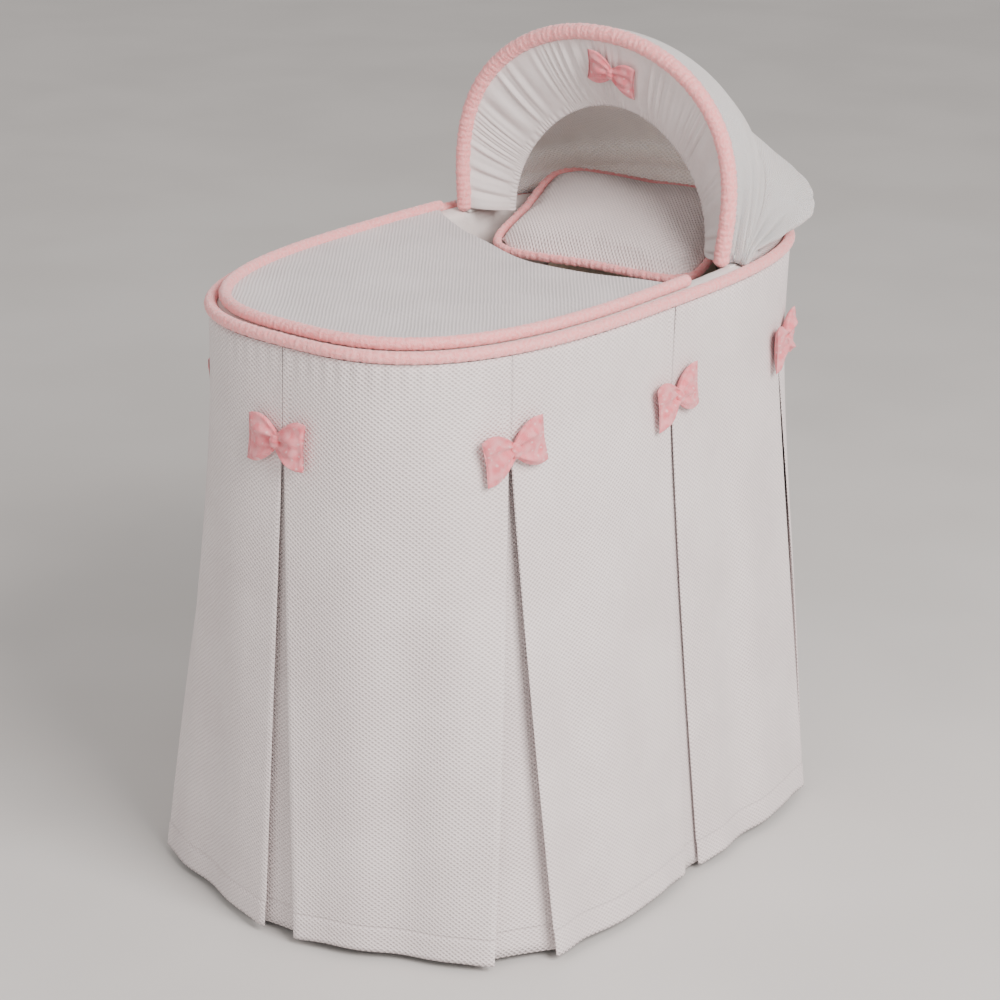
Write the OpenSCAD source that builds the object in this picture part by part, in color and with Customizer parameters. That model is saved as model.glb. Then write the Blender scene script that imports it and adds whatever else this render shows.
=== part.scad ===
// Oval bassinet on a folding stand with swivel casters.
// A wicker tub with a floor-length pleated skirt, a coverlet and a folding hood lifts off the stand.
// Millimetres. Z is up, X runs towards the hood, the origin is on the floor under the oval's centre.

/* [Oval rim] */
// Length over the rolled piping at the top of the skirt
rim_len = 813; // [760:1:980]
// Width over the same piping
rim_wid = 458; // [420:1:560]
// Squareness of the oval, where 2 is an ellipse
rim_square = 2.9; // [2.4:0.1:3.6]
// Height of the underside of the skirt piping above the floor
rim_height = 692; // [660:1:840]
// Diameter of the rolled piping on the skirt and the coverlet
piping_d = 14; // [10:0.5:16]

/* [Basket] */
// Diameter of the wicker roll round the top of the basket
rim_roll_d = 20; // [16:1:24]
// Thickness of the woven basket wall
wicker_t = 6; // [4:0.5:8]
// Inside depth from the rim roll down to the base board
basket_depth = 205; // [170:1:240]
// How far the wall leans in between the rim and the floor of the basket
basket_taper = 22; // [5:1:30]
// Thickness of the hardboard base
base_board_t = 5; // [3:0.5:9]
// Thickness of the cloth liner
liner_t = 2; // [1.5:0.5:3]

/* [Bedding] */
// Thickness of the mattress pad
mattress_t = 55; // [30:1:70]
// Size of the pillow along the bed
pillow_len = 200; // [160:1:225]
// Size of the pillow across the bed
pillow_wid = 290; // [220:1:295]
// Thickness of the pillow at its crown
pillow_t = 70; // [50:1:80]
// Slope of the pillow up towards the hood, in degrees
pillow_slope = 20; // [8:1:22]
// Diameter of the piping sewn round the pillow
pillow_piping_d = 11; // [8:1:14]
// Thickness of the coverlet
coverlet_t = 4; // [2:0.5:6]

/* [Skirt] */
// Height of the hem above the floor
hem_height = 8; // [6:1:40]
// Distance from the top of the skirt down to the bows, where the pleats open
bow_drop = 102; // [80:1:120]
// Outward flare of the hem at the middle of the sides
hem_flare = 51; // [30:1:80]
// Outward flare of the hem at the middle of the two ends
hem_flare_end = 18; // [8:1:30]
// Outward flare of the hem at the four corner pleats
hem_flare_corner = 85; // [60:1:110]
// Width of the mouth of the corner pleats at the hem; the other four open half as wide
pleat_mouth = 62; // [30:1:76]
// Thickness of the skirt cloth with its lining
skirt_t = 3; // [2:0.5:4]
// Width of each tied bow
bow_w = 80; // [60:1:95]

/* [Hood] */
// Distance from the oval's centre to the hood pivots
pivot_x = 158; // [140:1:190]
// Height of the front bow above its pivots
front_bow_h = 232; // [210:1:245]
// Height of the rear bow above its pivots
rear_bow_h = 201; // [185:1:215]
// Lean of the rear bow behind the front bow, in degrees
rear_lean = 47; // [42:1:52]
// Diameter of the wire bows
bow_wire_d = 6; // [4:0.5:7]
// Diameter of the gathered trim on the front bow
trim_d = 19; // [14:1:24]
// Width of the gathered valance at the top of the mouth
valance_w = 80; // [55:1:92]
// Thickness of the hood cloth
hood_t = 3; // [2:0.5:4]

/* [Stand] */
// Length of the tube ring that carries the basket
ring_len = 520; // [500:1:560]
// Width of the same ring, between tube centres
ring_wid = 330; // [320:1:350]
// Diameter of the ring tube
ring_tube_d = 20; // [16:1:24]
// Diameter of the leg tubes
leg_tube_d = 20; // [16:1:22]
// Distance from the oval's centre to the leg hinges
hinge_x = 230; // [215:1:240]
// Width between the head legs, centre to centre
head_leg_wid = 330; // [320:1:350]
// Width between the foot legs, which fold up between the head legs
foot_leg_wid = 200; // [180:1:215]
// Diameter of the leg hinge pins
hinge_pin_d = 8; // [6:0.5:10]
// Drop from the cross bar to the foot legs' hinge
foot_hinge_drop = 33; // [28:1:36]
// Extra drop of the head legs' hinge, so that the folded frames lie one above the other
fold_step = 34; // [32:1:40]

/* [Casters] */
// Diameter of the caster wheels
wheel_d = 50; // [40:1:54]
// Width of the caster wheels
wheel_w = 18; // [14:1:22]
// Distance of the wheel's axle behind the swivel stem
caster_trail = 20; // [14:1:24]
// Diameter of the caster axle
axle_d = 6; // [5:0.5:8]
// Diameter of the caster's swivel stem
stem_d = 9; // [7:0.5:11]

/* [Hidden] */
pleats = 8;              // box pleats, evenly spaced from the middle of the head end
running = 0.05;          // radial clearance of a turning pin in its hole
gap = 0.3;               // clearance between pieces that move past each other
$fn = 40;

// Cloth white, piping pink and the plain colours of the frame
white = [0.93, 0.92, 0.93];
pink = [0.95, 0.72, 0.74];
wicker = [0.72, 0.56, 0.38];
enamel = [0.92, 0.92, 0.9];
steel = [0.72, 0.73, 0.75];
dark = [0.2, 0.2, 0.21];

// Insets from the outer edge of the piping to each layer at the rim
piping_in = piping_d / 2;
skirt_in = piping_d / 2 - skirt_t / 2;
waistband_in = skirt_in + skirt_t + 0.4;
waistband_t = 2.4;
roll_in = waistband_in + waistband_t + gap + rim_roll_d / 2;
shell_in = roll_in + rim_roll_d / 2 + 0.2;
liner_in = shell_in + wicker_t + 0.4;
coverlet_pipe_in = roll_in;

// Heights
skirt_top = rim_height - 0.4;
roll_z = rim_height - 2;
roll_top = roll_z + rim_roll_d / 2;
coverlet_pipe_z = roll_top + piping_d / 2 + 2.5;
coverlet_z = coverlet_pipe_z - piping_d / 2 + 1;
floor_z = roll_top - basket_depth - base_board_t - wicker_t - gap;
board_z = floor_z + wicker_t + gap;
mattress_z = board_z + base_board_t + gap;
mattress_top = mattress_z + mattress_t;
bow_z = rim_height - bow_drop;
pivot_z = roll_top + 12;
slat_t = 10;
slat_z = floor_z - gap - slat_t;
ring_z = slat_z - ring_tube_d / 2;
bar_t = 6;
bar_z = ring_z - ring_tube_d / 2 - bar_t;
foot_hinge_z = bar_z - foot_hinge_drop;
head_hinge_z = foot_hinge_z - fold_step;

// ---- Oval outline and arc length ----
function spow(v, e) = sign(v) * pow(abs(v), e);
function oval_at(t, in) = [(rim_len / 2 - in) * spow(cos(t), 2 / rim_square),
                           (rim_wid / 2 - in) * spow(sin(t), 2 / rim_square)];
function oval(in, n = 72) = [for (i = [0:n - 1]) oval_at(360 * i / n, in)];
arc_n = 720;
arc_pts = [for (i = [0:arc_n]) oval_at(360 * i / arc_n, 0)];
arc_len = [for (i = 0, s = 0; i <= arc_n;
                s = s + (i < arc_n ? norm(arc_pts[i + 1] - arc_pts[i]) : 0), i = i + 1) s];
perimeter = arc_len[arc_n];
arc_table = [for (i = [0:arc_n]) [arc_len[i], 360 * i / arc_n]];
// Angle parameter at a fraction of the way round, counted from the head end
function turn(f) = 360 * floor(f) + lookup((f - floor(f)) * perimeter, arc_table);
// Point and outward normal of the oval at a fraction of the way round
function rim_pt(f, in = 0) = oval_at(turn(f), in);
function unit(v) = v / norm(v);
function rim_out(f) = let (d = unit(rim_pt(f + 0.002) - rim_pt(f - 0.002))) [d[1], -d[0]];

// ---- Solids from grids of points ----
// Closed solid between an outer and an inner grid of points, rows by columns
module sheet(outer, inner) {
  m = len(outer);
  n = len(outer[0]);
  k = m * n;
  quads = [for (j = [0:m - 2]) for (i = [0:n - 2])
    [j * n + i, j * n + i + 1, (j + 1) * n + i + 1, (j + 1) * n + i]];
  rim = concat([for (i = [0:n - 2]) i], [for (j = [0:m - 2]) j * n + n - 1],
               [for (i = [n - 1:-1:1]) (m - 1) * n + i], [for (j = [m - 1:-1:1]) j * n]);
  polyhedron(
    points = concat([for (r = outer) each r], [for (r = inner) each r]),
    faces = concat(
      [for (q = quads) each [[q[0], q[1], q[2]], [q[0], q[2], q[3]]]],
      [for (q = quads) each [[k + q[0], k + q[2], k + q[1]], [k + q[0], k + q[3], k + q[2]]]],
      [for (i = [0:len(rim) - 1]) let (a = rim[i], b = rim[(i + 1) % len(rim)])
        each [[a, k + b, b], [a, k + a, k + b]]]));
}
// Closed solid through a stack of level rings that run anticlockwise seen from above
module stack(rings) {
  m = len(rings);
  n = len(rings[0]);
  polyhedron(
    points = [for (r = rings) each r],
    faces = concat(
      [[for (i = [0:n - 1]) i]],
      [for (j = [0:m - 2]) for (i = [0:n - 1]) let (a = j * n + i, b = j * n + (i + 1) % n)
        each [[a, a + n, b + n], [a, b + n, b]]],
      [[for (i = [n - 1:-1:0]) (m - 1) * n + i]]));
}
// Tube along a row of points; side directions come from the path and one fixed vector
module tube(path, d, across, closed = false, sides = 10) {
  n = len(path);
  rings = [for (i = [0:n - 1])
    let (a = path[closed ? (i + n - 1) % n : max(i - 1, 0)],
         b = path[closed ? (i + 1) % n : min(i + 1, n - 1)],
         t = unit(b - a), u = unit(cross(t, across)), v = cross(t, u))
    [for (k = [0:sides - 1]) path[i] + d / 2 * (cos(360 * k / sides) * u + sin(360 * k / sides) * v)]];
  last = closed ? n - 1 : n - 2;
  polyhedron(
    points = [for (r = rings) each r],
    faces = concat(
      [for (j = [0:last]) for (i = [0:sides - 1])
        let (a = j * sides + i, b = j * sides + (i + 1) % sides,
             c = ((j + 1) % n) * sides + (i + 1) % sides, e = ((j + 1) % n) * sides + i)
        each [[a, c, b], [a, e, c]]],
      closed ? [] : [[for (i = [0:sides - 1]) i], [for (i = [sides - 1:-1:0]) (n - 1) * sides + i]]));
}
function lift(pts, z) = [for (p = pts) [p[0], p[1], z]];

// ================= Stand =================
corner_r = 60;
module ring_corner() {
  rotate_extrude(angle = 90) translate([corner_r, 0]) circle(d = ring_tube_d);
}
module stand_ring() {
  a = ring_len / 2;
  b = ring_wid / 2;
  color(enamel) translate([0, 0, ring_z]) {
    for (s = [-1, 1]) {
      translate([-(a - corner_r), s * b, 0]) rotate([0, 90, 0])
        cylinder(d = ring_tube_d, h = 2 * (a - corner_r));
      translate([s * a, -(b - corner_r), 0]) rotate([-90, 0, 0])
        cylinder(d = ring_tube_d, h = 2 * (b - corner_r));
    }
    translate([a - corner_r, b - corner_r, 0]) ring_corner();
    translate([-(a - corner_r), b - corner_r, 0]) rotate(90) ring_corner();
    translate([-(a - corner_r), -(b - corner_r), 0]) rotate(180) ring_corner();
    translate([a - corner_r, -(b - corner_r), 0]) rotate(270) ring_corner();
  }
}
bar_w = 44;
module cross_bar(s) {
  color(enamel) translate([s * hinge_x - bar_w / 2, -ring_wid / 2 - leg_tube_d, bar_z])
    cube([bar_w, ring_wid + 2 * leg_tube_d, bar_t]);
}
module cross_bar_head() { cross_bar(1); }
module cross_bar_foot() { cross_bar(-1); }
slat_w = 60;
slats = [-180, 0, 180];
module support_slats() {
  color("burlywood") for (x = slats)
    translate([x - slat_w / 2, -ring_wid / 2 - ring_tube_d / 2, slat_z])
      cube([slat_w, ring_wid + ring_tube_d, slat_t]);
}
// Upright plastic lugs on the slats' ends that centre the basket's floor
lug_h = 14;
lug_t = 6;
lug_w = 30;
lug_gap = 3;
floor_in = shell_in + basket_taper;
function floor_y(x) = (rim_wid / 2 - floor_in) * pow(1 - pow(abs(x) / (rim_len / 2 - floor_in), rim_square),
                                                       1 / rim_square);
module basket_guides() {
  color(dark) for (x = [-180, 180]) for (s = [-1, 1])
    translate([x - lug_w / 2,
      s * (floor_y(abs(x) - lug_w / 2) + lug_gap) - (s > 0 ? 0 : lug_t), slat_z + slat_t])
      cube([lug_w, lug_t, lug_h]);
}

// ---- Leg hinges: eye on the leg, clevis on the cross bar, pin and clamp knob ----
eye_d = 26;
eye_w = 24;
cheek_t = 3;
cheek_w = 34;
cheek_y = eye_w / 2 + gap;
module hinge_bracket(x, y, z) {
  for (s = [-1, 1]) translate([x, y + s * (cheek_y + cheek_t / 2), 0]) rotate([90, 0, 0])
    translate([0, 0, -cheek_t / 2]) difference() {
      union() {
        translate([0, z, 0]) cylinder(d = cheek_w, h = cheek_t);
        translate([-cheek_w / 2, z, 0]) cube([cheek_w, bar_z - z, cheek_t]);
      }
      translate([0, z, -1]) cylinder(d = hinge_pin_d + 2 * running, h = cheek_t + 2);
    }
  translate([x - cheek_w / 2, y - cheek_y - 0.01, bar_z - 4]) cube([cheek_w, 2 * cheek_y + 0.02, 4]);
}
module hinge_bracket_head() {
  color(steel) for (s = [-1, 1]) hinge_bracket(hinge_x, s * head_leg_wid / 2, head_hinge_z);
}
module hinge_bracket_foot() {
  color(steel) for (s = [-1, 1]) hinge_bracket(-hinge_x, s * foot_leg_wid / 2, foot_hinge_z);
}
// A pin with its head inside the frame and its threaded end outside, under the knob
pin_head_t = 3;
knob_t = 14;
knob_d = 32;
pin_out = cheek_y + cheek_t + 10;
module hinge_pin(x, y, z, s) {
  translate([x, y, z]) rotate([s * -90, 0, 0]) {
    translate([0, 0, -(cheek_y + cheek_t + 0.1)])
      cylinder(d = hinge_pin_d, h = pin_out + cheek_y + cheek_t + 0.1);
    translate([0, 0, -(cheek_y + cheek_t + 0.1 + pin_head_t)]) cylinder(d = hinge_pin_d + 6, h = pin_head_t);
  }
}
module hinge_pin_head() {
  color(steel) for (s = [-1, 1]) hinge_pin(hinge_x, s * head_leg_wid / 2, head_hinge_z, s);
}
module hinge_pin_foot() {
  color(steel) for (s = [-1, 1]) hinge_pin(-hinge_x, s * foot_leg_wid / 2, foot_hinge_z, s);
}
// Three-lobed knob with a blind bore over the pin's end
module clamp_knob(x, y, z, s) {
  color(dark) translate([x, y, z]) rotate([s * -90, 0, 0])
    translate([0, 0, cheek_y + cheek_t + gap]) difference() {
      union() {
        cylinder(d = knob_d * 0.62, h = knob_t);
        for (a = [0, 120, 240]) rotate(a) translate([knob_d * 0.28, 0, 2])
          cylinder(d = knob_d * 0.44, h = knob_t - 4);
      }
      translate([0, 0, -1]) cylinder(d = hinge_pin_d + 2 * running, h = 11.5);
    }
}
module clamp_knob_head_near() { clamp_knob(hinge_x, -head_leg_wid / 2, head_hinge_z, -1); }
module clamp_knob_head_far() { clamp_knob(hinge_x, head_leg_wid / 2, head_hinge_z, 1); }
module clamp_knob_foot_near() { clamp_knob(-hinge_x, -foot_leg_wid / 2, foot_hinge_z, -1); }
module clamp_knob_foot_far() { clamp_knob(-hinge_x, foot_leg_wid / 2, foot_hinge_z, 1); }

// ---- Leg frames ----
fork_top = wheel_d + 14;
leg_bottom = fork_top + 1.5;
leg_brace_z = leg_bottom + 55;
stem_len = 34;
module leg_frame(x, w, z) {
  color(enamel) difference() {
    union() {
      for (s = [-1, 1]) {
        translate([x, s * w / 2, leg_bottom]) cylinder(d = leg_tube_d, h = z - leg_bottom);
        translate([x, s * w / 2 + eye_w / 2, z]) rotate([90, 0, 0]) cylinder(d = eye_d, h = eye_w);
      }
      translate([x, w / 2, leg_brace_z]) rotate([90, 0, 0]) cylinder(d = leg_tube_d - 4, h = w);
    }
    for (s = [-1, 1]) {
      translate([x, s * w / 2 + eye_w, z]) rotate([90, 0, 0])
        cylinder(d = hinge_pin_d + 2 * running, h = 2 * eye_w);
      translate([x, s * w / 2, leg_bottom - 1]) cylinder(d = stem_d + 2 * running, h = stem_len + 3);
    }
  }
}
module leg_frame_head() { leg_frame(hinge_x, head_leg_wid, head_hinge_z); }
module leg_frame_foot() { leg_frame(-hinge_x, foot_leg_wid, foot_hinge_z); }

// ---- Casters, numbered head near, head far, foot near, foot far ----
caster_at = [[hinge_x, -head_leg_wid / 2], [hinge_x, head_leg_wid / 2],
             [-hinge_x, -foot_leg_wid / 2], [-hinge_x, foot_leg_wid / 2]];
// Side on which each wheel trails
trail_side = [-1, -1, 1, 1];
fork_cheek_t = 3;
fork_in = wheel_w / 2 + 1;
function axle_x(i) = caster_at[i][0] + trail_side[i] * caster_trail;
module caster_fork(i) {
  s = trail_side[i];
  braked = i > 1;
  color(dark) translate([caster_at[i][0], caster_at[i][1], 0]) {
    translate([0, 0, fork_top - 5]) cylinder(d = 30, h = 5);
    translate([0, 0, fork_top]) cylinder(d = stem_d, h = stem_len);
    for (t = [-1, 1]) difference() {
      translate([0, t * (fork_in + fork_cheek_t / 2) + fork_cheek_t / 2, 0]) rotate([90, 0, 0])
        linear_extrude(fork_cheek_t) polygon(concat(
          [[s * -11, fork_top], [s * 13, fork_top]],
          braked ? [[s * (brake_reach + 6), brake_z + 3], [s * (brake_reach + 6), brake_z - 5]] : [],
          [[s * (caster_trail + 8), wheel_d / 2 + 4], [s * (caster_trail + 8), wheel_d / 2 - 7],
           [s * (caster_trail - 8), wheel_d / 2 - 7]]));
      translate([s * caster_trail, t * (fork_in + fork_cheek_t) + fork_cheek_t * 2, wheel_d / 2])
        rotate([90, 0, 0])
        cylinder(d = axle_d + 2 * running, h = 4 * fork_cheek_t);
      if (braked) translate([s * brake_reach, t * (fork_in + fork_cheek_t) + fork_cheek_t * 2, brake_z])
        rotate([90, 0, 0]) cylinder(d = brake_pin_d + 2 * running, h = 4 * fork_cheek_t);
    }
    translate([-13, -(fork_in + fork_cheek_t), fork_top - 5]) cube([26, 2 * (fork_in + fork_cheek_t), 5]);
  }
}
module caster_axle(i) {
  h = 2 * (fork_in + fork_cheek_t) + 4;
  color(steel) translate([axle_x(i), caster_at[i][1] + h / 2, wheel_d / 2]) rotate([90, 0, 0]) {
    cylinder(d = axle_d, h = h);
    cylinder(d = axle_d + 4, h = 1.8);
    translate([0, 0, h - 1.8]) cylinder(d = axle_d + 4, h = 1.8);
  }
}
module caster_wheel(i) {
  color(dark) translate([axle_x(i), caster_at[i][1], wheel_d / 2]) rotate([90, 0, 0])
    rotate_extrude($fn = 64) translate([0, -wheel_w / 2]) polygon([
      [axle_d / 2 + running, 0], [wheel_d * 0.18, 0], [wheel_d * 0.18, 3], [wheel_d * 0.36, 3],
      [wheel_d * 0.38, 0.5], [wheel_d / 2 - 2, 0.5], [wheel_d / 2, 2.5], [wheel_d / 2, wheel_w - 2.5],
      [wheel_d / 2 - 2, wheel_w - 0.5], [wheel_d * 0.38, wheel_w - 0.5], [wheel_d * 0.36, wheel_w - 3],
      [wheel_d * 0.18, wheel_w - 3], [wheel_d * 0.18, wheel_w], [axle_d / 2 + running, wheel_w]]);
}
// Foot lever on a cross pin between the fork's cheeks; at rest it is up and the wheel is free
brake_z = fork_top - 9;
brake_pin_d = 4;
brake_reach = 23;
brake_hub_d = 8;
pedal_len = 30;
module caster_brake(i) {
  s = trail_side[i];
  hub = 2 * (fork_in - 0.5);
  pin = 2 * (fork_in + fork_cheek_t) + 1;
  color("crimson") translate([caster_at[i][0] + s * brake_reach, caster_at[i][1], brake_z]) {
    translate([0, hub / 2, 0]) rotate([90, 0, 0]) cylinder(d = brake_hub_d, h = hub);
    translate([0, pin / 2, 0]) rotate([90, 0, 0]) cylinder(d = brake_pin_d, h = pin);
    translate([s > 0 ? 0 : -pedal_len, -hub / 2, 0]) cube([pedal_len, hub, brake_hub_d / 2]);
  }
}
module caster_brake_3() { caster_brake(2); }
module caster_brake_4() { caster_brake(3); }

// ================= Basket =================
module basket_shell() {
  n = 48;
  top = roll_top - 4;
  inner_floor = floor_z + wicker_t;
  function wall_in(z) = shell_in + basket_taper * pow((top - z) / (top - floor_z), 1.4);
  zs = [for (k = [0:5]) floor_z + (top - floor_z) * k / 5];
  zi = [for (k = [5:-1:0]) inner_floor + (top - inner_floor) * k / 5];
  color(wicker) stack(concat([for (z = zs) lift(oval(wall_in(z), n), z)],
                             [for (z = zi) lift(oval(wall_in(z) + wicker_t, n), z)]));
}
module basket_rim() {
  color(wicker) tube(lift(oval(roll_in, 60), roll_z), rim_roll_d, [0, 0, 1], closed = true);
}
module base_board() {
  color("peru") translate([0, 0, board_z]) linear_extrude(base_board_t)
    polygon(oval(shell_in + basket_taper + wicker_t + 1));
}
module basket_liner() {
  n = 48;
  top = roll_top - 5;
  bottom = mattress_z + 4;
  full = roll_top - 4 - floor_z;
  function wall_in(z) = liner_in + basket_taper * pow((roll_top - 4 - z) / full, 1.4);
  zs = [for (k = [0:4]) bottom + (top - bottom) * k / 4];
  color(white) difference() {
    stack([for (z = zs) lift(oval(wall_in(z) + 0.3, n), z)]);
    stack([for (z = concat([bottom - 1], [for (k = [1:3]) zs[k]], [top + 1]))
      lift(oval(wall_in(min(max(z, bottom), top)) + 0.3 + liner_t, n), z)]);
  }
}
module mattress() {
  n = 48;
  in0 = liner_in + basket_taper + liner_t + 5;
  soft = 8;
  color(white) stack([
    lift(oval(in0 + soft, n), mattress_z),
    lift(oval(in0, n), mattress_z + soft),
    lift(oval(in0, n), mattress_top - soft),
    lift(oval(in0 + soft, n), mattress_top)]);
}

// ---- Pillow, propped on a foam block so that it stands up under the hood ----
pillow_x = 228;
pillow_y = 9;
pillow_z = rim_height + 9;
// It lies a little askew, its near end pushed towards the head
pillow_turn = 8;
module on_pillow() {
  translate([pillow_x, pillow_y, pillow_z]) rotate(pillow_turn) rotate([0, -pillow_slope, 0]) children();
}
// Outline of a rectangle whose sides pull in between the corners
function pillow_edge(k, n = 12) = let (a = pillow_len / 2 * k, b = pillow_wid / 2 * k, pull = 5 * k) concat(
  [for (i = [0:n - 1]) let (f = i / n) [a - pull * sin(180 * f), b * (2 * f - 1)]],
  [for (i = [0:n - 1]) let (f = i / n) [a * (1 - 2 * f), b - pull * sin(180 * f)]],
  [for (i = [0:n - 1]) let (f = i / n) [-a + pull * sin(180 * f), b * (1 - 2 * f)]],
  [for (i = [0:n - 1]) let (f = i / n) [a * (2 * f - 1), -b + pull * sin(180 * f)]]);
module pillow() {
  steps = [0.2, 0.5, 0.75, 0.92];
  edge = 1 - pillow_piping_d / 2 / (pillow_wid / 2) - 0.02;
  function crown(k) = pillow_t / 2 * pow(1 - pow(k, 2.6), 0.6) + 2;
  color(white) on_pillow() stack(concat(
    [for (k = steps) lift(pillow_edge(k * edge), -crown(k))],
    [for (k = [3:-1:0]) lift(pillow_edge(steps[k] * edge), crown(steps[k]))]));
}
module pillow_piping() {
  color(pink) on_pillow() tube(lift(pillow_edge(1 - pillow_piping_d / 2 / (pillow_wid / 2)), 0),
    pillow_piping_d, [0, 0, 1], closed = true, sides = 8);
}
riser_len = 130;
riser_wid = 200;
module pillow_riser() {
  x0 = -riser_len / 2;
  under = pillow_t / 2 + 4;
  z0 = pillow_z - under / cos(pillow_slope);
  t = tan(pillow_slope) * riser_len / 2;
  color(white) translate([pillow_x, pillow_y, 0]) rotate(pillow_turn)
    translate([0, riser_wid / 2, 0]) rotate([90, 0, 0])
    linear_extrude(riser_wid)
    polygon([[x0, mattress_top + gap], [-x0, mattress_top + gap], [-x0, z0 + t], [x0, z0 - t]]);
}

// ---- Coverlet, held over the foot end by its elastic piping ----
cover_near_x = 45;
cover_far_x = 118;
cover_scoop = 62;
// Points of the oval from the near head corner round the foot end to the far one
function foot_side(in, xn, xf) = let (a = rim_len / 2 - in,
    tn = 360 - acos(spow(xn / a, rim_square / 2)), tf = acos(spow(xf / a, rim_square / 2)))
  [for (i = [0:60]) oval_at(tn + (tf - tn) * i / 60, in)];
module coverlet() {
  in = coverlet_pipe_in + piping_d / 2 + gap;
  side = foot_side(in, cover_near_x, cover_far_x);
  p = side[60];
  q = side[0];
  scoop = [for (i = [1:11]) let (f = i / 12) p + (q - p) * f - [cover_scoop * pow(sin(180 * f), 0.8), 0]];
  color(white) translate([0, 0, coverlet_z]) linear_extrude(coverlet_t) polygon(concat(side, scoop));
}
module coverlet_piping() {
  color(pink) tube(lift(foot_side(coverlet_pipe_in, cover_near_x, cover_far_x), coverlet_pipe_z),
    piping_d, [0, 0, 1]);
}

// ================= Skirt =================
// Pleats 0 and 4 are at the ends, 2 and 6 at the sides and the odd ones at the corners
function flare(k) = k % 2 == 1 ? hem_flare_corner : k % 4 == 0 ? hem_flare_end : hem_flare;
function flare_dir(k) = let (p = rim_pt(k / pleats))
  k % 2 == 1 ? unit([0.75 * sign(p[0]), sign(p[1])]) : rim_out(k / pleats);
function hem_corner(k) = rim_pt(k / pleats) + flare(k % pleats) * flare_dir(k);
// Outer face of the skirt at a place round the rim, a height and an inset
function skirt_pt(f, z, in) =
  let (k = floor(f * pleats), g = f * pleats - k,
       top = rim_pt(f, skirt_in), a = hem_corner(k), b = hem_corner(k + 1),
       o = unit([b[1] - a[1], a[0] - b[0]]), d = unit(rim_out(f)),
       hem = a + (b - a) * g + o * 8 * sin(180 * g),
       u = max(0, (bow_z - z) / (bow_z - hem_height)),
       p = top + (hem - top) * pow(u, 1.1))
  [p[0] - in * d[0], p[1] - in * d[1], z];
skirt_rows = 8;
function skirt_z(j) = j == 0 ? skirt_top : bow_z + (hem_height - bow_z) * (j - 1) / (skirt_rows - 1);
// Half the mouth of pleat k at a height
function mouth_at(k) = pleat_mouth * (k % 2 == 1 ? 1 : 0.5);
function mouth(k, z) = 1.5 + (mouth_at(k) / 2 - 1.5) * max(0, (bow_z - z) / (bow_z - hem_height));
module skirt_panel(k) {
  n = 14;
  function grid(in) = [for (j = [0:skirt_rows])
    let (z = skirt_z(j), a = mouth(k, z) / perimeter, b = 1 / pleats - mouth(k + 1, z) / perimeter)
    [for (i = [0:n]) skirt_pt(k / pleats + a + (b - a) * i / n, z, in)]];
  color(white) sheet(grid(0), grid(skirt_t));
}
module pleat_inserts() {
  in = skirt_t + 1.5;
  n = 8;
  function grid(k, e) = [for (j = [1:skirt_rows]) let (z = skirt_z(j) + (j == 1 ? -4 : 0))
    [for (i = [0:n])
      skirt_pt((k + 1) / pleats + (2 * i / n - 1) * (mouth_at(k + 1) / 2 + 20) / perimeter, z, e)]];
  color(white) for (k = [0:pleats - 1]) sheet(grid(k, in), grid(k, in + skirt_t));
}
module skirt_waistband() {
  color(white) translate([0, 0, skirt_top - 45]) linear_extrude(44) difference() {
    polygon(oval(waistband_in));
    polygon(oval(waistband_in + waistband_t));
  }
}
module skirt_piping() {
  color(pink) tube(lift(oval(piping_in, 64), rim_height + piping_d / 2), piping_d, [0, 0, 1], closed = true);
}
// Flat tied bow: two loops, two tails and a knot, lying in the XZ plane
bow_h = 50;
bow_t = 12;
module tied_bow(w) {
  h = bow_h * w / bow_w;
  rotate([90, 0, 0]) {
    linear_extrude(bow_t) {
      for (s = [-1, 1]) polygon([
        [s * 0.02 * w, -0.08 * h], [s * 0.02 * w, 0.12 * h], [s * 0.32 * w, 0.5 * h], [s * 0.48 * w, 0.42 * h],
        [s * 0.5 * w, 0.05 * h], [s * 0.42 * w, -0.2 * h], [s * 0.2 * w, -0.14 * h]]);
      polygon([[-0.11 * w, 0.16 * h], [-0.13 * w, -0.14 * h], [0, -0.22 * h],
        [0.13 * w, -0.14 * h], [0.11 * w, 0.16 * h]]);
      polygon([[-0.02 * w, 0], [0.1 * w, -0.5 * h], [0.26 * w, -0.44 * h], [0.1 * w, 0]]);
      polygon([[0.02 * w, 0], [-0.1 * w, 0], [-0.26 * w, -0.42 * h], [-0.1 * w, -0.48 * h]]);
    }
  }
}
module skirt_bows() {
  color(pink) for (k = [0:pleats - 1]) let (p = rim_pt(k / pleats, skirt_in - 4.5), d = rim_out(k / pleats))
    translate([p[0], p[1], bow_z]) rotate(atan2(d[1], d[0]) + 90) tied_bow(bow_w);
}

// ================= Hood =================
bow_foot_y = rim_wid / 2 - roll_in - 19.5;
bow_square = 2.25;
bow_swell = 0.11;
eye_t = bow_wire_d - 1;
hood_pin_d = 5;
eyelet_d = 13;
front_lean = 2;
// Half arch in the bow's own plane: across and up, for an angle from 0 at the near foot to 180
function arch(t, y, h, sq, swell) = [-y * spow(cos(t), 2 / sq) * (1 + swell * sin(2 * min(t, 180 - t))),
                                     h * spow(sin(t), 2 / sq)];
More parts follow.
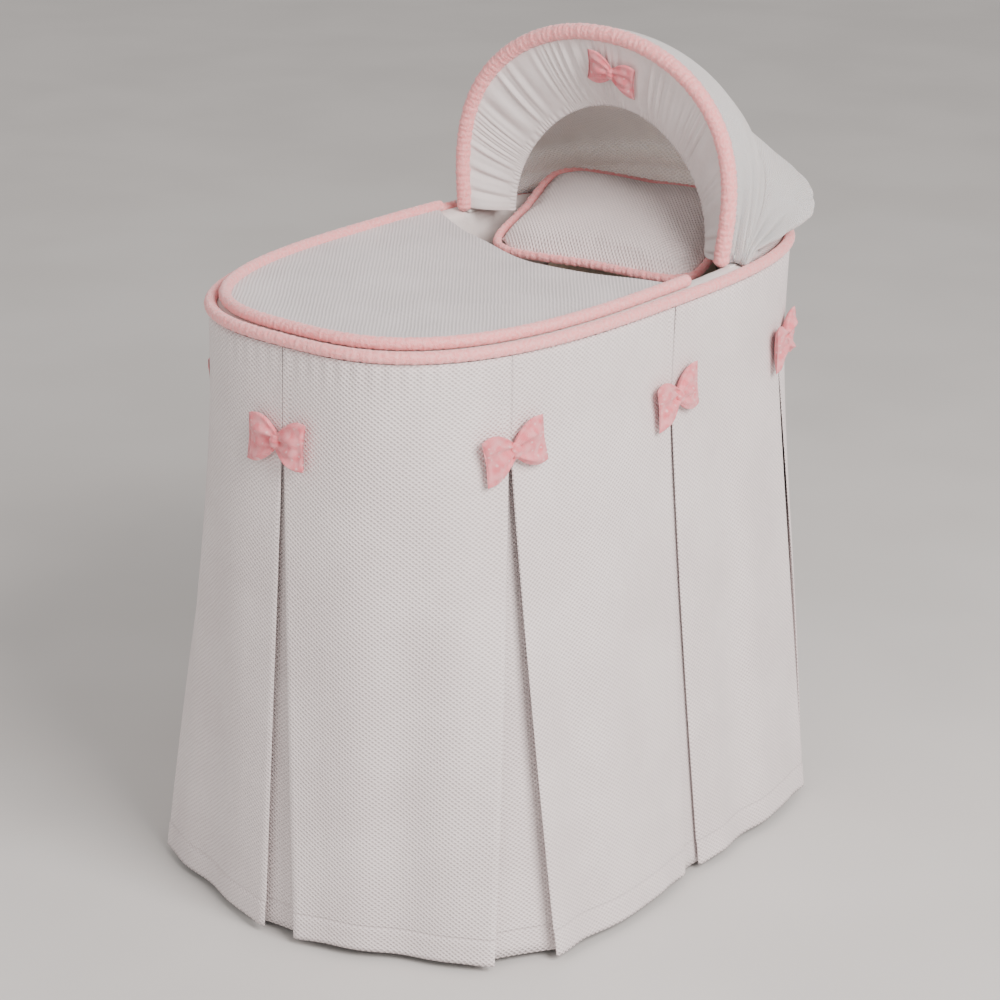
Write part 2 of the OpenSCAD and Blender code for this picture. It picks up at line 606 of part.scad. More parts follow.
// Places a point of a bow's plane in space, leaning back from the vertical
function leaned(p, lean, out = 0) = [pivot_x + p[1] * sin(lean) - out * cos(lean), p[0],
                                     pivot_z + p[1] * cos(lean) + out * sin(lean)];
rear_foot_y = bow_foot_y + bow_wire_d + 2;
rear_square = 1.8;
rear_swell = 0.07;
module wire_bow(y, h, sq, swell, lean) {
  first = asin(spow((eyelet_d / 2 + 0.4) / h, sq / 2));
  n = 30;
  pts = [for (i = [0:n]) arch(first + (180 - 2 * first) * i / n, y, h, sq, swell)];
  path = [for (p = pts) leaned(p, lean)];
  tube(path, bow_wire_d, [cos(lean), 0, -sin(lean)], sides = 8);
  for (s = [-1, 1]) difference() {
    translate([pivot_x, s * y + eye_t / 2, pivot_z]) rotate([90, 0, 0]) cylinder(d = eyelet_d, h = eye_t);
    translate([pivot_x, s * y + eye_t, pivot_z]) rotate([90, 0, 0])
      cylinder(d = hood_pin_d + 2 * running, h = 2 * eye_t);
  }
}
module front_bow() {
  color(steel) wire_bow(bow_foot_y, front_bow_h, bow_square, bow_swell, front_lean);
}
module rear_bow() {
  color(steel) wire_bow(rear_foot_y, rear_bow_h, rear_square, rear_swell, rear_lean);
}
// A plastic bracket on the rim roll each side, with the pin that both bows turn on
module hood_pivots() {
  in_y = bow_foot_y - eye_t / 2 - 0.5 - 4;
  out_y = rear_foot_y + eye_t / 2 + 0.5;
  color("gainsboro") for (s = [-1, 1]) {
    translate([pivot_x - 11, s > 0 ? in_y : -out_y, roll_top + 0.2]) cube([22, out_y - in_y, 3]);
    translate([pivot_x - 8, s > 0 ? in_y : -in_y - 4, roll_top + 0.2]) cube([16, 4, 19]);
    translate([pivot_x, s * (in_y + 1), pivot_z]) rotate([s * -90, 0, 0])
      cylinder(d = hood_pin_d, h = out_y - in_y - 1);
  }
}

// ---- Canopy: ribs that fan out from the pivots ----
rib_n = 28;
rib_clear = bow_wire_d / 2 + 0.6;
first_t = 6;
function rib_t(i) = first_t + (180 - 2 * first_t) * i / rib_n;
function grow(p, y, h, d) = [p[0] * (1 + d / y), p[1] * (1 + d / h)];
// The part of the rim behind the pivots as a flat rib
base_in = piping_d + 1 + hood_t;
base_a = rim_len / 2 - base_in;
base_b = rim_wid / 2 - base_in;
base_turn = acos(pow(pivot_x / base_a, rim_square / 2));
function base_rib(t) = let (q = (t / 90 - 1) * base_turn)
  [base_b * spow(sin(q), 2 / rim_square), base_a * spow(cos(q), 2 / rim_square) - pivot_x];
function front_rib(t, d) =
  grow(arch(t, bow_foot_y, front_bow_h, bow_square, bow_swell), bow_foot_y, front_bow_h, d);
function rear_rib(t, d) =
  grow(arch(t, rear_foot_y, rear_bow_h, rear_square, rear_swell), rear_foot_y, rear_bow_h, d);
function mix(a, b, u) = a + (b - a) * u;
module canopy_front() {
  rows = 5;
  function grid(d) = [for (j = [0:rows]) let (u = j / rows)
    [for (i = [0:rib_n]) let (t = rib_t(i))
      leaned(mix(front_rib(t, d), rear_rib(t, d), u), mix(front_lean, rear_lean - 0.4, u))]];
  color(white) sheet(grid(rib_clear + hood_t), grid(rib_clear));
}
puff = 0.165;
back_rows = [0, 0.2, 0.38, 0.52, 0.64, 0.73, 0.8, 0.87, 0.93, 0.97, 1];
module canopy_back() {
  // The cloth runs straight down from the bow and puffs out over the rim before it tucks in
  function rib(t, d, u) = let (r = mix(rear_rib(t, rib_clear + d), base_rib(t) * (1 + d / 220), pow(u, 1.6)))
    r * (1 + puff * sin(180 * pow(u, 4)));
  function place(t, d, u) = u < 0.99 ? leaned(rib(t, d, u), mix(rear_lean + 0.4, 86, u)) :
    let (b = base_rib(t) * (1 + d / 220)) [pivot_x + b[1], b[0], roll_top + 1.5];
  function grid(d) = [for (u = back_rows) [for (i = [0:rib_n]) place(rib_t(i), d, u)]];
  color(white) sheet(grid(hood_t), grid(0));
}

// ---- Trim, valance and bow on the front of the hood ----
trim_out = bow_wire_d / 2 + gap + trim_d / 2;
module hood_trim() {
  n = 34;
  path = [for (i = [0:n]) leaned(arch(2 + 176 * i / n, bow_foot_y, front_bow_h, bow_square, bow_swell),
                                 front_lean, trim_out)];
  color(pink) tube(path, trim_d, [cos(front_lean), 0, -sin(front_lean)]);
}
valance_t = 3;
valance_r = trim_d / 2 + 1;
// How far the inner edge of the valance falls back into the hood
valance_in = 39;
module hood_valance() {
  n = 28;
  function outer(t) =
    grow(arch(t, bow_foot_y, front_bow_h, bow_square, bow_swell), bow_foot_y, front_bow_h, -valance_r);
  // The cloth is deepest over the top of the mouth and narrow at its feet
  function inner(t) = arch(t, bow_foot_y - valance_r - 38, front_bow_h - valance_r - valance_w, 1.9, 0);
  function face(d) = [for (j = [0:4]) [for (i = [0:n]) let (t = 9 + 162 * i / n)
    leaned(mix(outer(t), inner(t), j / 4), front_lean, trim_out + d - valance_in * j / 4)]];
  color(white) sheet(face(-valance_t / 2), face(valance_t / 2));
}
hood_bow_w = 66;
module hood_bow() {
  drop = 30;
  slant = atan(valance_in / valance_w);
  out = trim_out + valance_t / 2 + 4 - valance_in * drop / valance_w;
  color(pink) translate(leaned([-16, front_bow_h - valance_r - drop], front_lean, out))
    rotate([0, front_lean - slant, 0]) rotate(-90) tied_bow(hood_bow_w);
}

// ================= All the pieces =================
stand_ring();
cross_bar_head();
cross_bar_foot();
support_slats();
basket_guides();
hinge_bracket_head();
hinge_bracket_foot();
hinge_pin_head();
hinge_pin_foot();
leg_frame_head();
leg_frame_foot();
clamp_knob_head_near();
clamp_knob_head_far();
clamp_knob_foot_near();
clamp_knob_foot_far();
for (i = [1:4]) {
  caster_fork(i - 1);
  caster_axle(i - 1);
  caster_wheel(i - 1);
}
caster_brake_3();
caster_brake_4();
basket_shell();
basket_rim();
base_board();
basket_liner();
mattress();
pillow_riser();
pillow();
pillow_piping();
coverlet();
coverlet_piping();
skirt_waistband();
skirt_piping();
for (k = [1:8])
  skirt_panel(k - 1);
pleat_inserts();
skirt_bows();
hood_pivots();
front_bow();
rear_bow();
canopy_front();
canopy_back();
hood_trim();
hood_valance();
hood_bow();
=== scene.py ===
import bmesh
import bpy
import numpy as np
from mathutils import Euler, Matrix, Vector


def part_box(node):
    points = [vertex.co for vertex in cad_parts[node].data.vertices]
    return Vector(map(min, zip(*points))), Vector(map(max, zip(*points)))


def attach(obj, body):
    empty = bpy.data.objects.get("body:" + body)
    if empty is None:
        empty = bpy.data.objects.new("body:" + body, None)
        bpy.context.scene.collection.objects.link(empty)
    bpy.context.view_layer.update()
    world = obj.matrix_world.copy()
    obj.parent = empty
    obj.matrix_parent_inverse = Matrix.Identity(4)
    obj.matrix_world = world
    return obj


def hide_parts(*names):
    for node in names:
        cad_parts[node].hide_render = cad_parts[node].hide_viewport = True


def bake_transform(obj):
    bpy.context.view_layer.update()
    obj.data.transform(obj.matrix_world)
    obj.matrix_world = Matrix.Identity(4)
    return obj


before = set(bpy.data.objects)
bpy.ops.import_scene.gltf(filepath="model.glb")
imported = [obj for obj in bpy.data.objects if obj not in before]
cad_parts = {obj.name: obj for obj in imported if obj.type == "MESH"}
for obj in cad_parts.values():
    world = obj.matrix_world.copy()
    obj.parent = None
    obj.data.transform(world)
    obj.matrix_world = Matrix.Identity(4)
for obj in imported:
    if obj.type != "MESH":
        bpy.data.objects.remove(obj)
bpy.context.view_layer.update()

# ======================================================================================
# Stand: ring, cross bars and leg frames
# Welded steel tube and strip, sprayed with gloss white enamel that lies a little uneven,
# with grey scuffs where hands and shoes have rubbed it.


def add(tree, kind, inputs=None, **settings):
    """A new node with its settings and its input values."""
    made = tree.nodes.new("ShaderNode" + kind)
    for name, value in settings.items():
        setattr(made, name, value)
    for name, value in (inputs or {}).items():
        if hasattr(value, "is_output"):
            tree.links.new(value, made.inputs[name])
        else:
            made.inputs[name].default_value = value
    return made


def calc(tree, operation, a, b=0.0, c=0.0):
    """The result of one Math node on two or three numbers or sockets."""
    made = tree.nodes.new("ShaderNodeMath")
    made.operation = operation
    for k, value in enumerate((a, b, c)):
        if hasattr(value, "is_output"):
            tree.links.new(value, made.inputs[k])
        else:
            made.inputs[k].default_value = value
    return made.outputs[0]


def ramp(tree, value, low, high, to_low=0.0, to_high=1.0):
    """A number carried smoothly from one range to another."""
    made = add(tree, "MapRange", {"Value": value}, interpolation_type="SMOOTHSTEP")
    for name, v in zip(("From Min", "From Max", "To Min", "To Max"), (low, high, to_low, to_high)):
        made.inputs[name].default_value = v
    return made.outputs["Result"]


def tint(tree, fac, first, second):
    """A colour between two, by a number or socket from 0 to 1."""
    made = add(tree, "Mix", data_type="RGBA")
    if hasattr(fac, "is_output"):
        tree.links.new(fac, made.inputs[0])
    else:
        made.inputs[0].default_value = fac
    for k, value in ((6, first), (7, second)):
        if hasattr(value, "is_output"):
            tree.links.new(value, made.inputs[k])
        else:
            made.inputs[k].default_value = (*value, 1.0)
    return made.outputs[2]


def new_group(name, inputs, outputs):
    """An empty node group with the named inputs and outputs: its tree, its inputs and its end."""
    tree = bpy.data.node_groups.new(name, "ShaderNodeTree")
    for label, kind in inputs:
        tree.interface.new_socket(label, in_out="INPUT", socket_type="NodeSocket" + kind)
    for label, kind in outputs:
        tree.interface.new_socket(label, in_out="OUTPUT", socket_type="NodeSocket" + kind)
    return tree, tree.nodes.new("NodeGroupInput").outputs, tree.nodes.new("NodeGroupOutput").inputs


def use(tree, group, **inputs):
    """A node group placed in a material, with its input values or sockets."""
    made = tree.nodes.new("ShaderNodeGroup")
    made.node_tree = group
    for name, value in inputs.items():
        if hasattr(value, "is_output"):
            tree.links.new(value, made.inputs[name])
        else:
            made.inputs[name].default_value = value
    return made.outputs


def new_material(name, rough, metal=0.0, **plain):
    """A new material: itself, its node tree, its shader and its object coordinates."""
    made = bpy.data.materials.new(name)
    made.use_nodes = True
    tree = made.node_tree
    shader = tree.nodes["Principled BSDF"]
    shader.inputs["Roughness"].default_value = rough
    shader.inputs["Metallic"].default_value = metal
    for label, value in plain.items():
        shader.inputs[label.replace("_", " ")].default_value = value
    return made, tree, shader, add(tree, "TexCoord").outputs["Object"]


def laid_flat(tree):
    """The place on a piece's cloth laid flat, in metres."""
    return add(tree, "UVMap", uv_map="flat").outputs["UV"]


def paint(tree, shader, colour, height, depth):
    """Joins a colour and a height in metres, of the given depth, to a shader."""
    tree.links.new(colour, shader.inputs["Base Color"])
    bump = add(tree, "Bump", {"Strength": 1.0, "Distance": depth, "Height": height})
    tree.links.new(bump.outputs["Normal"], shader.inputs["Normal"])


def dress(nodes, made):
    """Gives CAD nodes a material."""
    for name in nodes:
        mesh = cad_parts[name].data
        mesh.materials.clear()
        mesh.materials.append(made)


# Mottle: soft patches, and a finer grain over them
mottle, given, ends = new_group(
    "mottle", [("Vector", "Vector"), ("Size", "Float"), ("Stretch", "Vector")],
    [("Patches", "Float"), ("Grain", "Float")])
scaled = add(mottle, "VectorMath", {0: given["Vector"], 1: given["Stretch"]}, operation="MULTIPLY").outputs[0]
broad, close = calc(mottle, "DIVIDE", 1.0, given["Size"]), calc(mottle, "DIVIDE", 9.0, given["Size"])
soft = add(mottle, "TexNoise", {"Vector": scaled, "Scale": broad, "Detail": 2.0})
fine = add(mottle, "TexNoise", {"Vector": scaled, "Scale": close, "Detail": 3.0})
mottle.links.new(ramp(mottle, soft.outputs["Fac"], 0.3, 0.7), ends["Patches"])
mottle.links.new(fine.outputs["Fac"], ends["Grain"])

enamel, tree, shader, place = new_material("white_enamel", 0.28, Coat_Weight=0.35, Coat_Roughness=0.12)
lumps = use(tree, mottle, Vector=place, Size=0.03, Stretch=(1, 1, 1))
scuffs = use(tree, mottle, Vector=place, Size=0.011, Stretch=(1, 1, 0.3))
worn = ramp(tree, scuffs["Grain"], 0.62, 0.72)
tree.links.new(ramp(tree, scuffs["Grain"], 0.4, 0.75, 0.24, 0.5), shader.inputs["Roughness"])
paint(tree, shader, tint(tree, worn, (0.80, 0.80, 0.775), (0.52, 0.52, 0.50)), lumps["Grain"], 0.00008)
dress(["stand_ring", "cross_bar_head", "cross_bar_foot", "leg_frame_head", "leg_frame_foot"], enamel)

# ======================================================================================
# Stand: hinge brackets, pins, axles and the two bows of the hood
# Bent strip and drawn wire in zinc-plated steel, satin, with fine drawing marks along it.

steel, tree, shader, place = new_material("zinc_plate", 0.34, 1.0)
marks = use(tree, mottle, Vector=place, Size=0.02, Stretch=(8, 8, 1))
clouds = use(tree, mottle, Vector=place, Size=0.045, Stretch=(1, 1, 1))
tree.links.new(ramp(tree, clouds["Patches"], 0, 1, 0.28, 0.46), shader.inputs["Roughness"])
plated = tint(tree, clouds["Patches"], (0.56, 0.57, 0.59), (0.70, 0.70, 0.69))
paint(tree, shader, plated, marks["Grain"], 0.00003)
dress(["hinge_bracket_head", "hinge_bracket_foot", "hinge_pin_head", "hinge_pin_foot"], steel)
dress(["front_bow", "rear_bow"] + [f"caster_axle_{k}" for k in range(1, 5)], steel)

# ======================================================================================
# Stand: slats
# Three planed pine boards with a clear lacquer, screwed across the ring to carry the basket.

# Grain: lines along one direction, wavering and closing round knots
grain, given, ends = new_group(
    "timber_grain", [("Vector", "Vector"), ("Lines", "Float")], [("Line", "Float"), ("Pore", "Float")])
warp = add(grain, "TexNoise", {"Vector": given["Vector"], "Scale": 3.0, "Detail": 2.0})
across = add(grain, "SeparateXYZ", {0: given["Vector"]})
swung = calc(grain, "MULTIPLY_ADD", warp.outputs["Fac"], 0.07, across.outputs["X"])
grain.links.new(calc(grain, "PINGPONG", calc(grain, "MULTIPLY", swung, given["Lines"]), 1.0), ends["Line"])
drawn_out = add(grain, "VectorMath", {0: given["Vector"], 1: (900, 30, 300)}, operation="MULTIPLY")
pores = add(grain, "TexNoise", {"Vector": drawn_out.outputs[0], "Scale": 1.0})
grain.links.new(pores.outputs["Fac"], ends["Pore"])

pine, tree, shader, place = new_material("lacquered_pine", 0.42, Coat_Weight=0.3, Coat_Roughness=0.3)
lines = use(tree, grain, Vector=place, Lines=180.0)
paint(tree, shader, tint(tree, lines["Line"], (0.62, 0.41, 0.20), (0.72, 0.52, 0.29)), lines["Pore"], 0.0001)
dress(["support_slats"], pine)

# ======================================================================================
# Stand: guide lugs, clamp knobs and caster forks
# Moulded black nylon with a fine spark-eroded texture; the knobs screw down on the hinge pins.

nylon, tree, shader, place = new_material("black_nylon", 0.5)
pitted = use(tree, mottle, Vector=place, Size=0.004, Stretch=(1, 1, 1))
tree.links.new(ramp(tree, pitted["Patches"], 0, 1, 0.42, 0.62), shader.inputs["Roughness"])
black = tint(tree, pitted["Patches"], (0.022, 0.022, 0.024), (0.04, 0.04, 0.042))
paint(tree, shader, black, pitted["Grain"], 0.00012)
dress(["basket_guides"] + [f"clamp_knob_{k}" for k in ("head_near", "head_far", "foot_near", "foot_far")]
      + [f"caster_fork_{k}" for k in range(1, 5)], nylon)

# ======================================================================================
# Casters: wheels
# A grey rubber tyre pressed on a black nylon hub; the tyre is dusty and scuffed where it runs.

for k in range(1, 5):
    low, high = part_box(f"caster_wheel_{k}")
    tyre, tree, shader, place = new_material(f"caster_tyre_{k}", 0.6)
    near = add(tree, "Mapping", {"Vector": place, "Location": tuple(-(low + high) / 2)}).outputs[0]
    parts = add(tree, "SeparateXYZ", {0: near})
    radius = calc(tree, "SQRT", calc(tree, "ADD", calc(tree, "POWER", parts.outputs["X"], 2.0),
                                     calc(tree, "POWER", parts.outputs["Z"], 2.0)))
    is_tyre = ramp(tree, radius, 0.0181, 0.0187)
    dust = use(tree, mottle, Vector=near, Size=0.012, Stretch=(1, 1, 1))
    rubber = tint(tree, dust["Patches"], (0.10, 0.10, 0.105), (0.20, 0.19, 0.18))
    paint(tree, shader, tint(tree, is_tyre, (0.03, 0.03, 0.032), rubber), dust["Grain"], 0.0002)
    tree.links.new(ramp(tree, dust["Patches"], 0, 1, 0.5, 0.85), shader.inputs["Roughness"])
    dress([f"caster_wheel_{k}"], tyre)

# ======================================================================================
# Casters: foot brakes
# Two moulded red levers on the foot end's casters, gloss, rubbed pale on top.

brake, tree, shader, place = new_material("red_lever", 0.3)
rubs = use(tree, mottle, Vector=place, Size=0.01, Stretch=(1, 1, 1))
tree.links.new(ramp(tree, rubs["Patches"], 0, 1, 0.25, 0.5), shader.inputs["Roughness"])
red = tint(tree, rubs["Patches"], (0.55, 0.03, 0.035), (0.62, 0.09, 0.09))
paint(tree, shader, red, rubs["Grain"], 0.00006)
dress(["caster_brake_3", "caster_brake_4"], brake)

# ======================================================================================
# Basket: woven shell
# Split willow woven round upright stakes, left in its natural colour; the crevices between its rows get
# painted shade.

# Weave: weavers pass in front of one stake and behind the next, and swap from row to row
weave, given, ends = new_group(
    "willow_weave", [("Around", "Float"), ("Up", "Float")], [("Height", "Float"), ("Gap_Shade", "Float")])
row = calc(weave, "FLOOR", given["Up"])
bulge = calc(weave, "SINE", calc(weave, "MULTIPLY", calc(weave, "ADD", given["Around"], row), np.pi))
round_up = calc(weave, "PINGPONG", calc(weave, "SUBTRACT", given["Up"], row), 0.5)
stem = calc(weave, "POWER", calc(weave, "MULTIPLY", round_up, 2.0), 0.5)
weave.links.new(calc(weave, "MULTIPLY_ADD", bulge, 0.5, stem), ends["Height"])
# The crevices between the rows, as a mask for painted shade.
weave.links.new(ramp(weave, stem, 0.15, 0.5, 1.0, 0.0), ends["Gap_Shade"])

willow, tree, shader, place = new_material("willow", 0.55)
axes = add(tree, "SeparateXYZ", {0: place})
angle = calc(tree, "ARCTAN2", calc(tree, "MULTIPLY", axes.outputs["Y"], 1.78), axes.outputs["X"])
stakes, rows = calc(tree, "MULTIPLY", angle, 84 / np.pi), calc(tree, "MULTIPLY", axes.outputs["Z"], 180.0)
rods = use(tree, weave, Around=stakes, Up=rows)
bark = use(tree, mottle, Vector=place, Size=0.02, Stretch=(1, 1, 4))
stems = tint(tree, bark["Patches"], (0.50, 0.30, 0.14), (0.63, 0.43, 0.22))
# Painted shade: the crevices between the rows are coloured near-black brown.
paint(tree, shader, tint(tree, rods["Gap_Shade"], stems, (0.14, 0.07, 0.03)), rods["Height"], 0.002)
dress(["basket_shell"], willow)

# ======================================================================================
# Basket: rim roll
# A core of thick rods wound tightly with split cane, bound to the top of the shell.
HALF_LEN, HALF_WID, SQUARE = 406.5, 229.0, 2.9
RIM_Z, PIPING_D = 692.0, 14.0
ROLL_R, ROLL_IN = 10.0, 21.6
ROLL_Z, ROLL_TOP = RIM_Z - 2, RIM_Z + 8


def spow(v, e):
    """A power that keeps the sign."""
    return np.sign(v) * np.abs(v) ** e


def oval(t, inset=0.0):
    """Points of the rim's superellipse, x = a cos^(2/n) t and y = b sin^(2/n) t, set in from its edge."""
    return np.stack([(HALF_LEN - inset) * spow(np.cos(t), 2 / SQUARE),
                     (HALF_WID - inset) * spow(np.sin(t), 2 / SQUARE)], -1)


turn_table = np.linspace(0, 2 * np.pi, 2881)
length_table = np.concatenate([[0], np.cumsum(np.linalg.norm(np.diff(oval(turn_table), axis=0), axis=1))])
PERIMETER = length_table[-1]


def rim_pt(f, inset=0.0):
    """Point of the oval at a fraction of the way round by length, from the head end anticlockwise."""
    whole = np.floor(f)
    return oval(2 * np.pi * whole + np.interp((f - whole) * PERIMETER, length_table, turn_table), inset)


def rim_out(f):
    """Unit normal of the oval there: the tangent between two near points, turned a quarter clockwise."""
    d = rim_pt(f + 0.002) - rim_pt(f - 0.002)
    return np.stack([d[..., 1], -d[..., 0]], -1) / np.linalg.norm(d, axis=-1, keepdims=True)


def surface(name, grid, flat, around=False, flip=False, weld=False):
    """A piece through a grid of points in millimetres, rows by columns.
    around joins the last column to the first, and flat then has one column more.
    flat gives each grid point's place on the cloth laid flat, in millimetres."""
    rows, cols = grid.shape[:2]
    wide = cols + around
    j, i = [x.ravel() for x in np.meshgrid(np.arange(rows - 1), np.arange(wide - 1), indexing="ij")]
    after = (i + 1) % cols
    quad = np.stack([j * cols + i, j * cols + after, (j + 1) * cols + after, (j + 1) * cols + i], -1)
    corner = np.stack([j * wide + i, j * wide + i + 1, (j + 1) * wide + i + 1, (j + 1) * wide + i], -1)
    if flip:
        quad, corner = quad[:, ::-1], corner[:, ::-1]
    mesh = bpy.data.meshes.new(name)
    mesh.from_pydata((grid.reshape(-1, 3) * 0.001).tolist(), [], quad.tolist())
    layer = mesh.uv_layers.new(name="flat")
    layer.data.foreach_set("uv", (flat.reshape(-1, 2)[corner.ravel()] * 0.001).astype(np.float32).ravel())
    mesh.polygons.foreach_set("use_smooth", np.ones(len(quad), bool))
    if weld:
        work = bmesh.new()
        work.from_mesh(mesh)
        bmesh.ops.remove_doubles(work, verts=work.verts, dist=1e-6)
        work.to_mesh(mesh)
        work.free()
    mesh.update()
    made = bpy.data.objects.new(name, mesh)
    bpy.context.scene.collection.objects.link(made)
    return made


def place_piece(made, body, look, slot, *nodes):
    """A finished piece: its material, the body it rides on, its finish (not used) and the CAD nodes it stands
    for.
    """
    made.data.materials.append(look)
    if body:
        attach(made, body)
    if nodes:
        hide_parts(*nodes)
    return made


def thicken(made, thickness):
    """Cloth with two faces: the thickness goes inwards from the modelled face."""
    solid = made.modifiers.new("cloth", "SOLIDIFY")
    solid.thickness, solid.offset = thickness * 0.001, -1.0
    return made


def tube(path, radius, across, closed):
    """Grid of a tube along a path: the path's point plus radius times (cos a u + sin a v),
    with u square to the path and to the fixed direction across. Open ends close to a point."""
    ahead = np.roll(path, -1, 0) - np.roll(path, 1, 0)
    if not closed:
        ahead[0], ahead[-1] = path[1] - path[0], path[-1] - path[-2]
    ahead /= np.linalg.norm(ahead, axis=1, keepdims=True)
    u = np.cross(ahead, across)
    u /= np.linalg.norm(u, axis=1, keepdims=True)
    v = np.cross(ahead, u)
    a = np.linspace(0, 2 * np.pi, radius.shape[1], endpoint=False)
    spokes = np.cos(a)[None, :, None] * u[:, None] + np.sin(a)[None, :, None] * v[:, None]
    grid = path[:, None] + radius[..., None] * spokes
    if closed:
        return np.concatenate([grid, grid[:1]])
    close = np.array([0.0, 0.45, 0.8])[:, None, None]
    step = radius.mean() * np.array([0.75, 0.55, 0.25])[:, None, None]
    head = path[0] + close * (grid[0] - path[0]) - step * ahead[0]
    tail = path[-1] + close * (grid[-1] - path[-1]) + step * ahead[-1]
    return np.concatenate([head, grid, tail[::-1]])


def tube_flat(grid, radius):
    """The tube's covering laid flat: distance along, and round the mean circle."""
    along = np.concatenate([[0], np.cumsum(np.linalg.norm(np.diff(grid.mean(1), axis=0), axis=1))])
    a = np.linspace(0, 2 * np.pi * radius, grid.shape[1] + 1)
    return np.stack(np.broadcast_arrays(along[:, None], a[None]), -1)


f = np.linspace(0, 1, 1440, endpoint=False)
around = np.linspace(0, 2 * np.pi, 14, endpoint=False)
turns = round(PERIMETER / 11)
wound = ROLL_R - 1.1 * (1 - np.abs(np.sin(np.pi * turns * f[:, None] + around / 2)))
path = np.concatenate([rim_pt(f, ROLL_IN), np.full((1440, 1), ROLL_Z)], 1)
grid = tube(path, wound, (0, 0, 1), True)
cane, tree, shader, place = new_material("wound_cane", 0.5)
bark = use(tree, mottle, Vector=place, Size=0.015, Stretch=(1, 1, 1))
split = tint(tree, bark["Patches"], (0.52, 0.32, 0.15), (0.66, 0.46, 0.25))
paint(tree, shader, split, bark["Grain"], 0.0002)
roll = surface("rim_roll", grid, tube_flat(grid, ROLL_R), around=True, weld=True)
place_piece(roll, "basket", cane, "wicker", "basket_rim")

# ======================================================================================
# Basket: base board
# A loose oval of brown hardboard, smooth on top, that the mattress lies on.

board, tree, shader, place = new_material("hardboard", 0.5)
fibres = use(tree, mottle, Vector=place, Size=0.006, Stretch=(1, 1, 1))
brown = tint(tree, fibres["Patches"], (0.20, 0.11, 0.06), (0.27, 0.155, 0.085))
paint(tree, shader, brown, fibres["Grain"], 0.00015)
dress(["base_board"], board)

# ======================================================================================
# Basket: cloth liner
# Plain white cotton, sewn to an elastic and pulled over the rim roll, hanging down the wall
# in soft upright folds and tucked under the mattress.
LINER_IN, TAPER = 38.2, 22.0
WALL_TOP, WALL_FLOOR = ROLL_TOP - 4, 483.7

# Plain weave: threads over and under each other, with slubs
plain, given, ends = new_group(
    "plain_weave", [("Vector", "Vector"), ("Pitch", "Float")], [("Height", "Float"), ("Slub", "Float")])
axes = add(plain, "SeparateXYZ", {0: given["Vector"]})
rate = calc(plain, "DIVIDE", np.pi, given["Pitch"])
warp_wave = calc(plain, "SINE", calc(plain, "MULTIPLY", axes.outputs["X"], rate))
weft_wave = calc(plain, "SINE", calc(plain, "MULTIPLY", axes.outputs["Y"], rate))
plain.links.new(calc(plain, "MULTIPLY", warp_wave, weft_wave), ends["Height"])
slub = add(plain, "TexNoise", {"Vector": given["Vector"], "Scale": 160.0, "Detail": 4.0})
plain.links.new(slub.outputs["Fac"], ends["Slub"])


def plain_cloth(name, light, dark):
    """Plain-woven cotton on a piece's flat map: fine threads, slubs and faint patches of shade."""
    made, tree, shader, place = new_material(name, 0.85, Sheen_Weight=0.2, Sheen_Roughness=0.5)
    threads = use(tree, plain, Vector=laid_flat(tree), Pitch=0.0007)
    patches = use(tree, mottle, Vector=place, Size=0.05, Stretch=(1, 1, 1))
    colour = tint(tree, calc(tree, "MULTIPLY", patches["Patches"], threads["Slub"]), light, dark)
    paint(tree, shader, colour, calc(tree, "MULTIPLY_ADD", threads["Height"], 0.4, threads["Slub"]), 0.0003)
    return made


lining = plain_cloth("white_cotton", (0.84, 0.77, 0.75), (0.72, 0.63, 0.61))
bottom = 500.5
wall = np.linspace(0, 1, 22)
wall_z = bottom + (ROLL_TOP - 9 - bottom) * wall
wall_in = LINER_IN + 1.2 + TAPER * ((WALL_TOP - wall_z) / (WALL_TOP - WALL_FLOOR)) ** 1.4
over_in = np.array([39.2, 38.0, 35.0, 30.5, 26.0, 21.6, 17.4, 14.0, 11.8, 10.6])
over_z = ROLL_TOP + np.array([-5.2, -2.4, -0.2, 0.8, 1.3, 1.5, 0.8, -1.4, -5.0, -9.0])
inset, height = np.concatenate([wall_in, over_in]), np.concatenate([wall_z, over_z])
f = np.linspace(0, 1, 420, endpoint=False)
folds = np.sin(2 * np.pi * 47 * f + 2.2 * np.sin(2 * np.pi * 9 * f)) + 0.5 * np.sin(2 * np.pi * 83 * f + 1.3)
fullness = np.concatenate([1.0 + 0.6 * np.sin(np.pi * wall), [0.9, 0.6, 0.3, 0.1, 0, 0, 0, 0, 0, 0]])
xy = np.stack([rim_pt(f, i) for i in inset]) - (fullness[:, None] * (1 + folds))[..., None] * rim_out(f)
grid = np.concatenate([xy, np.broadcast_to(height[:, None, None], (*xy.shape[:2], 1))], 2)
drop = np.concatenate([[0], np.cumsum(np.hypot(np.diff(inset), np.diff(height)))])
flat_map = np.stack(np.broadcast_arrays(np.linspace(0, PERIMETER, 421)[None], drop[:, None]), -1)
liner = surface("liner", grid, flat_map, around=True, flip=True)
place_piece(liner, "basket", lining, "white_lining", "basket_liner")

# ======================================================================================
# Basket: mattress
# An oval foam pad in a quilted white cotton cover, 55 mm thick, loose on the board.
MATTRESS_IN, MATTRESS_Z, MATTRESS_T = 67.2, 495.3, 55.0

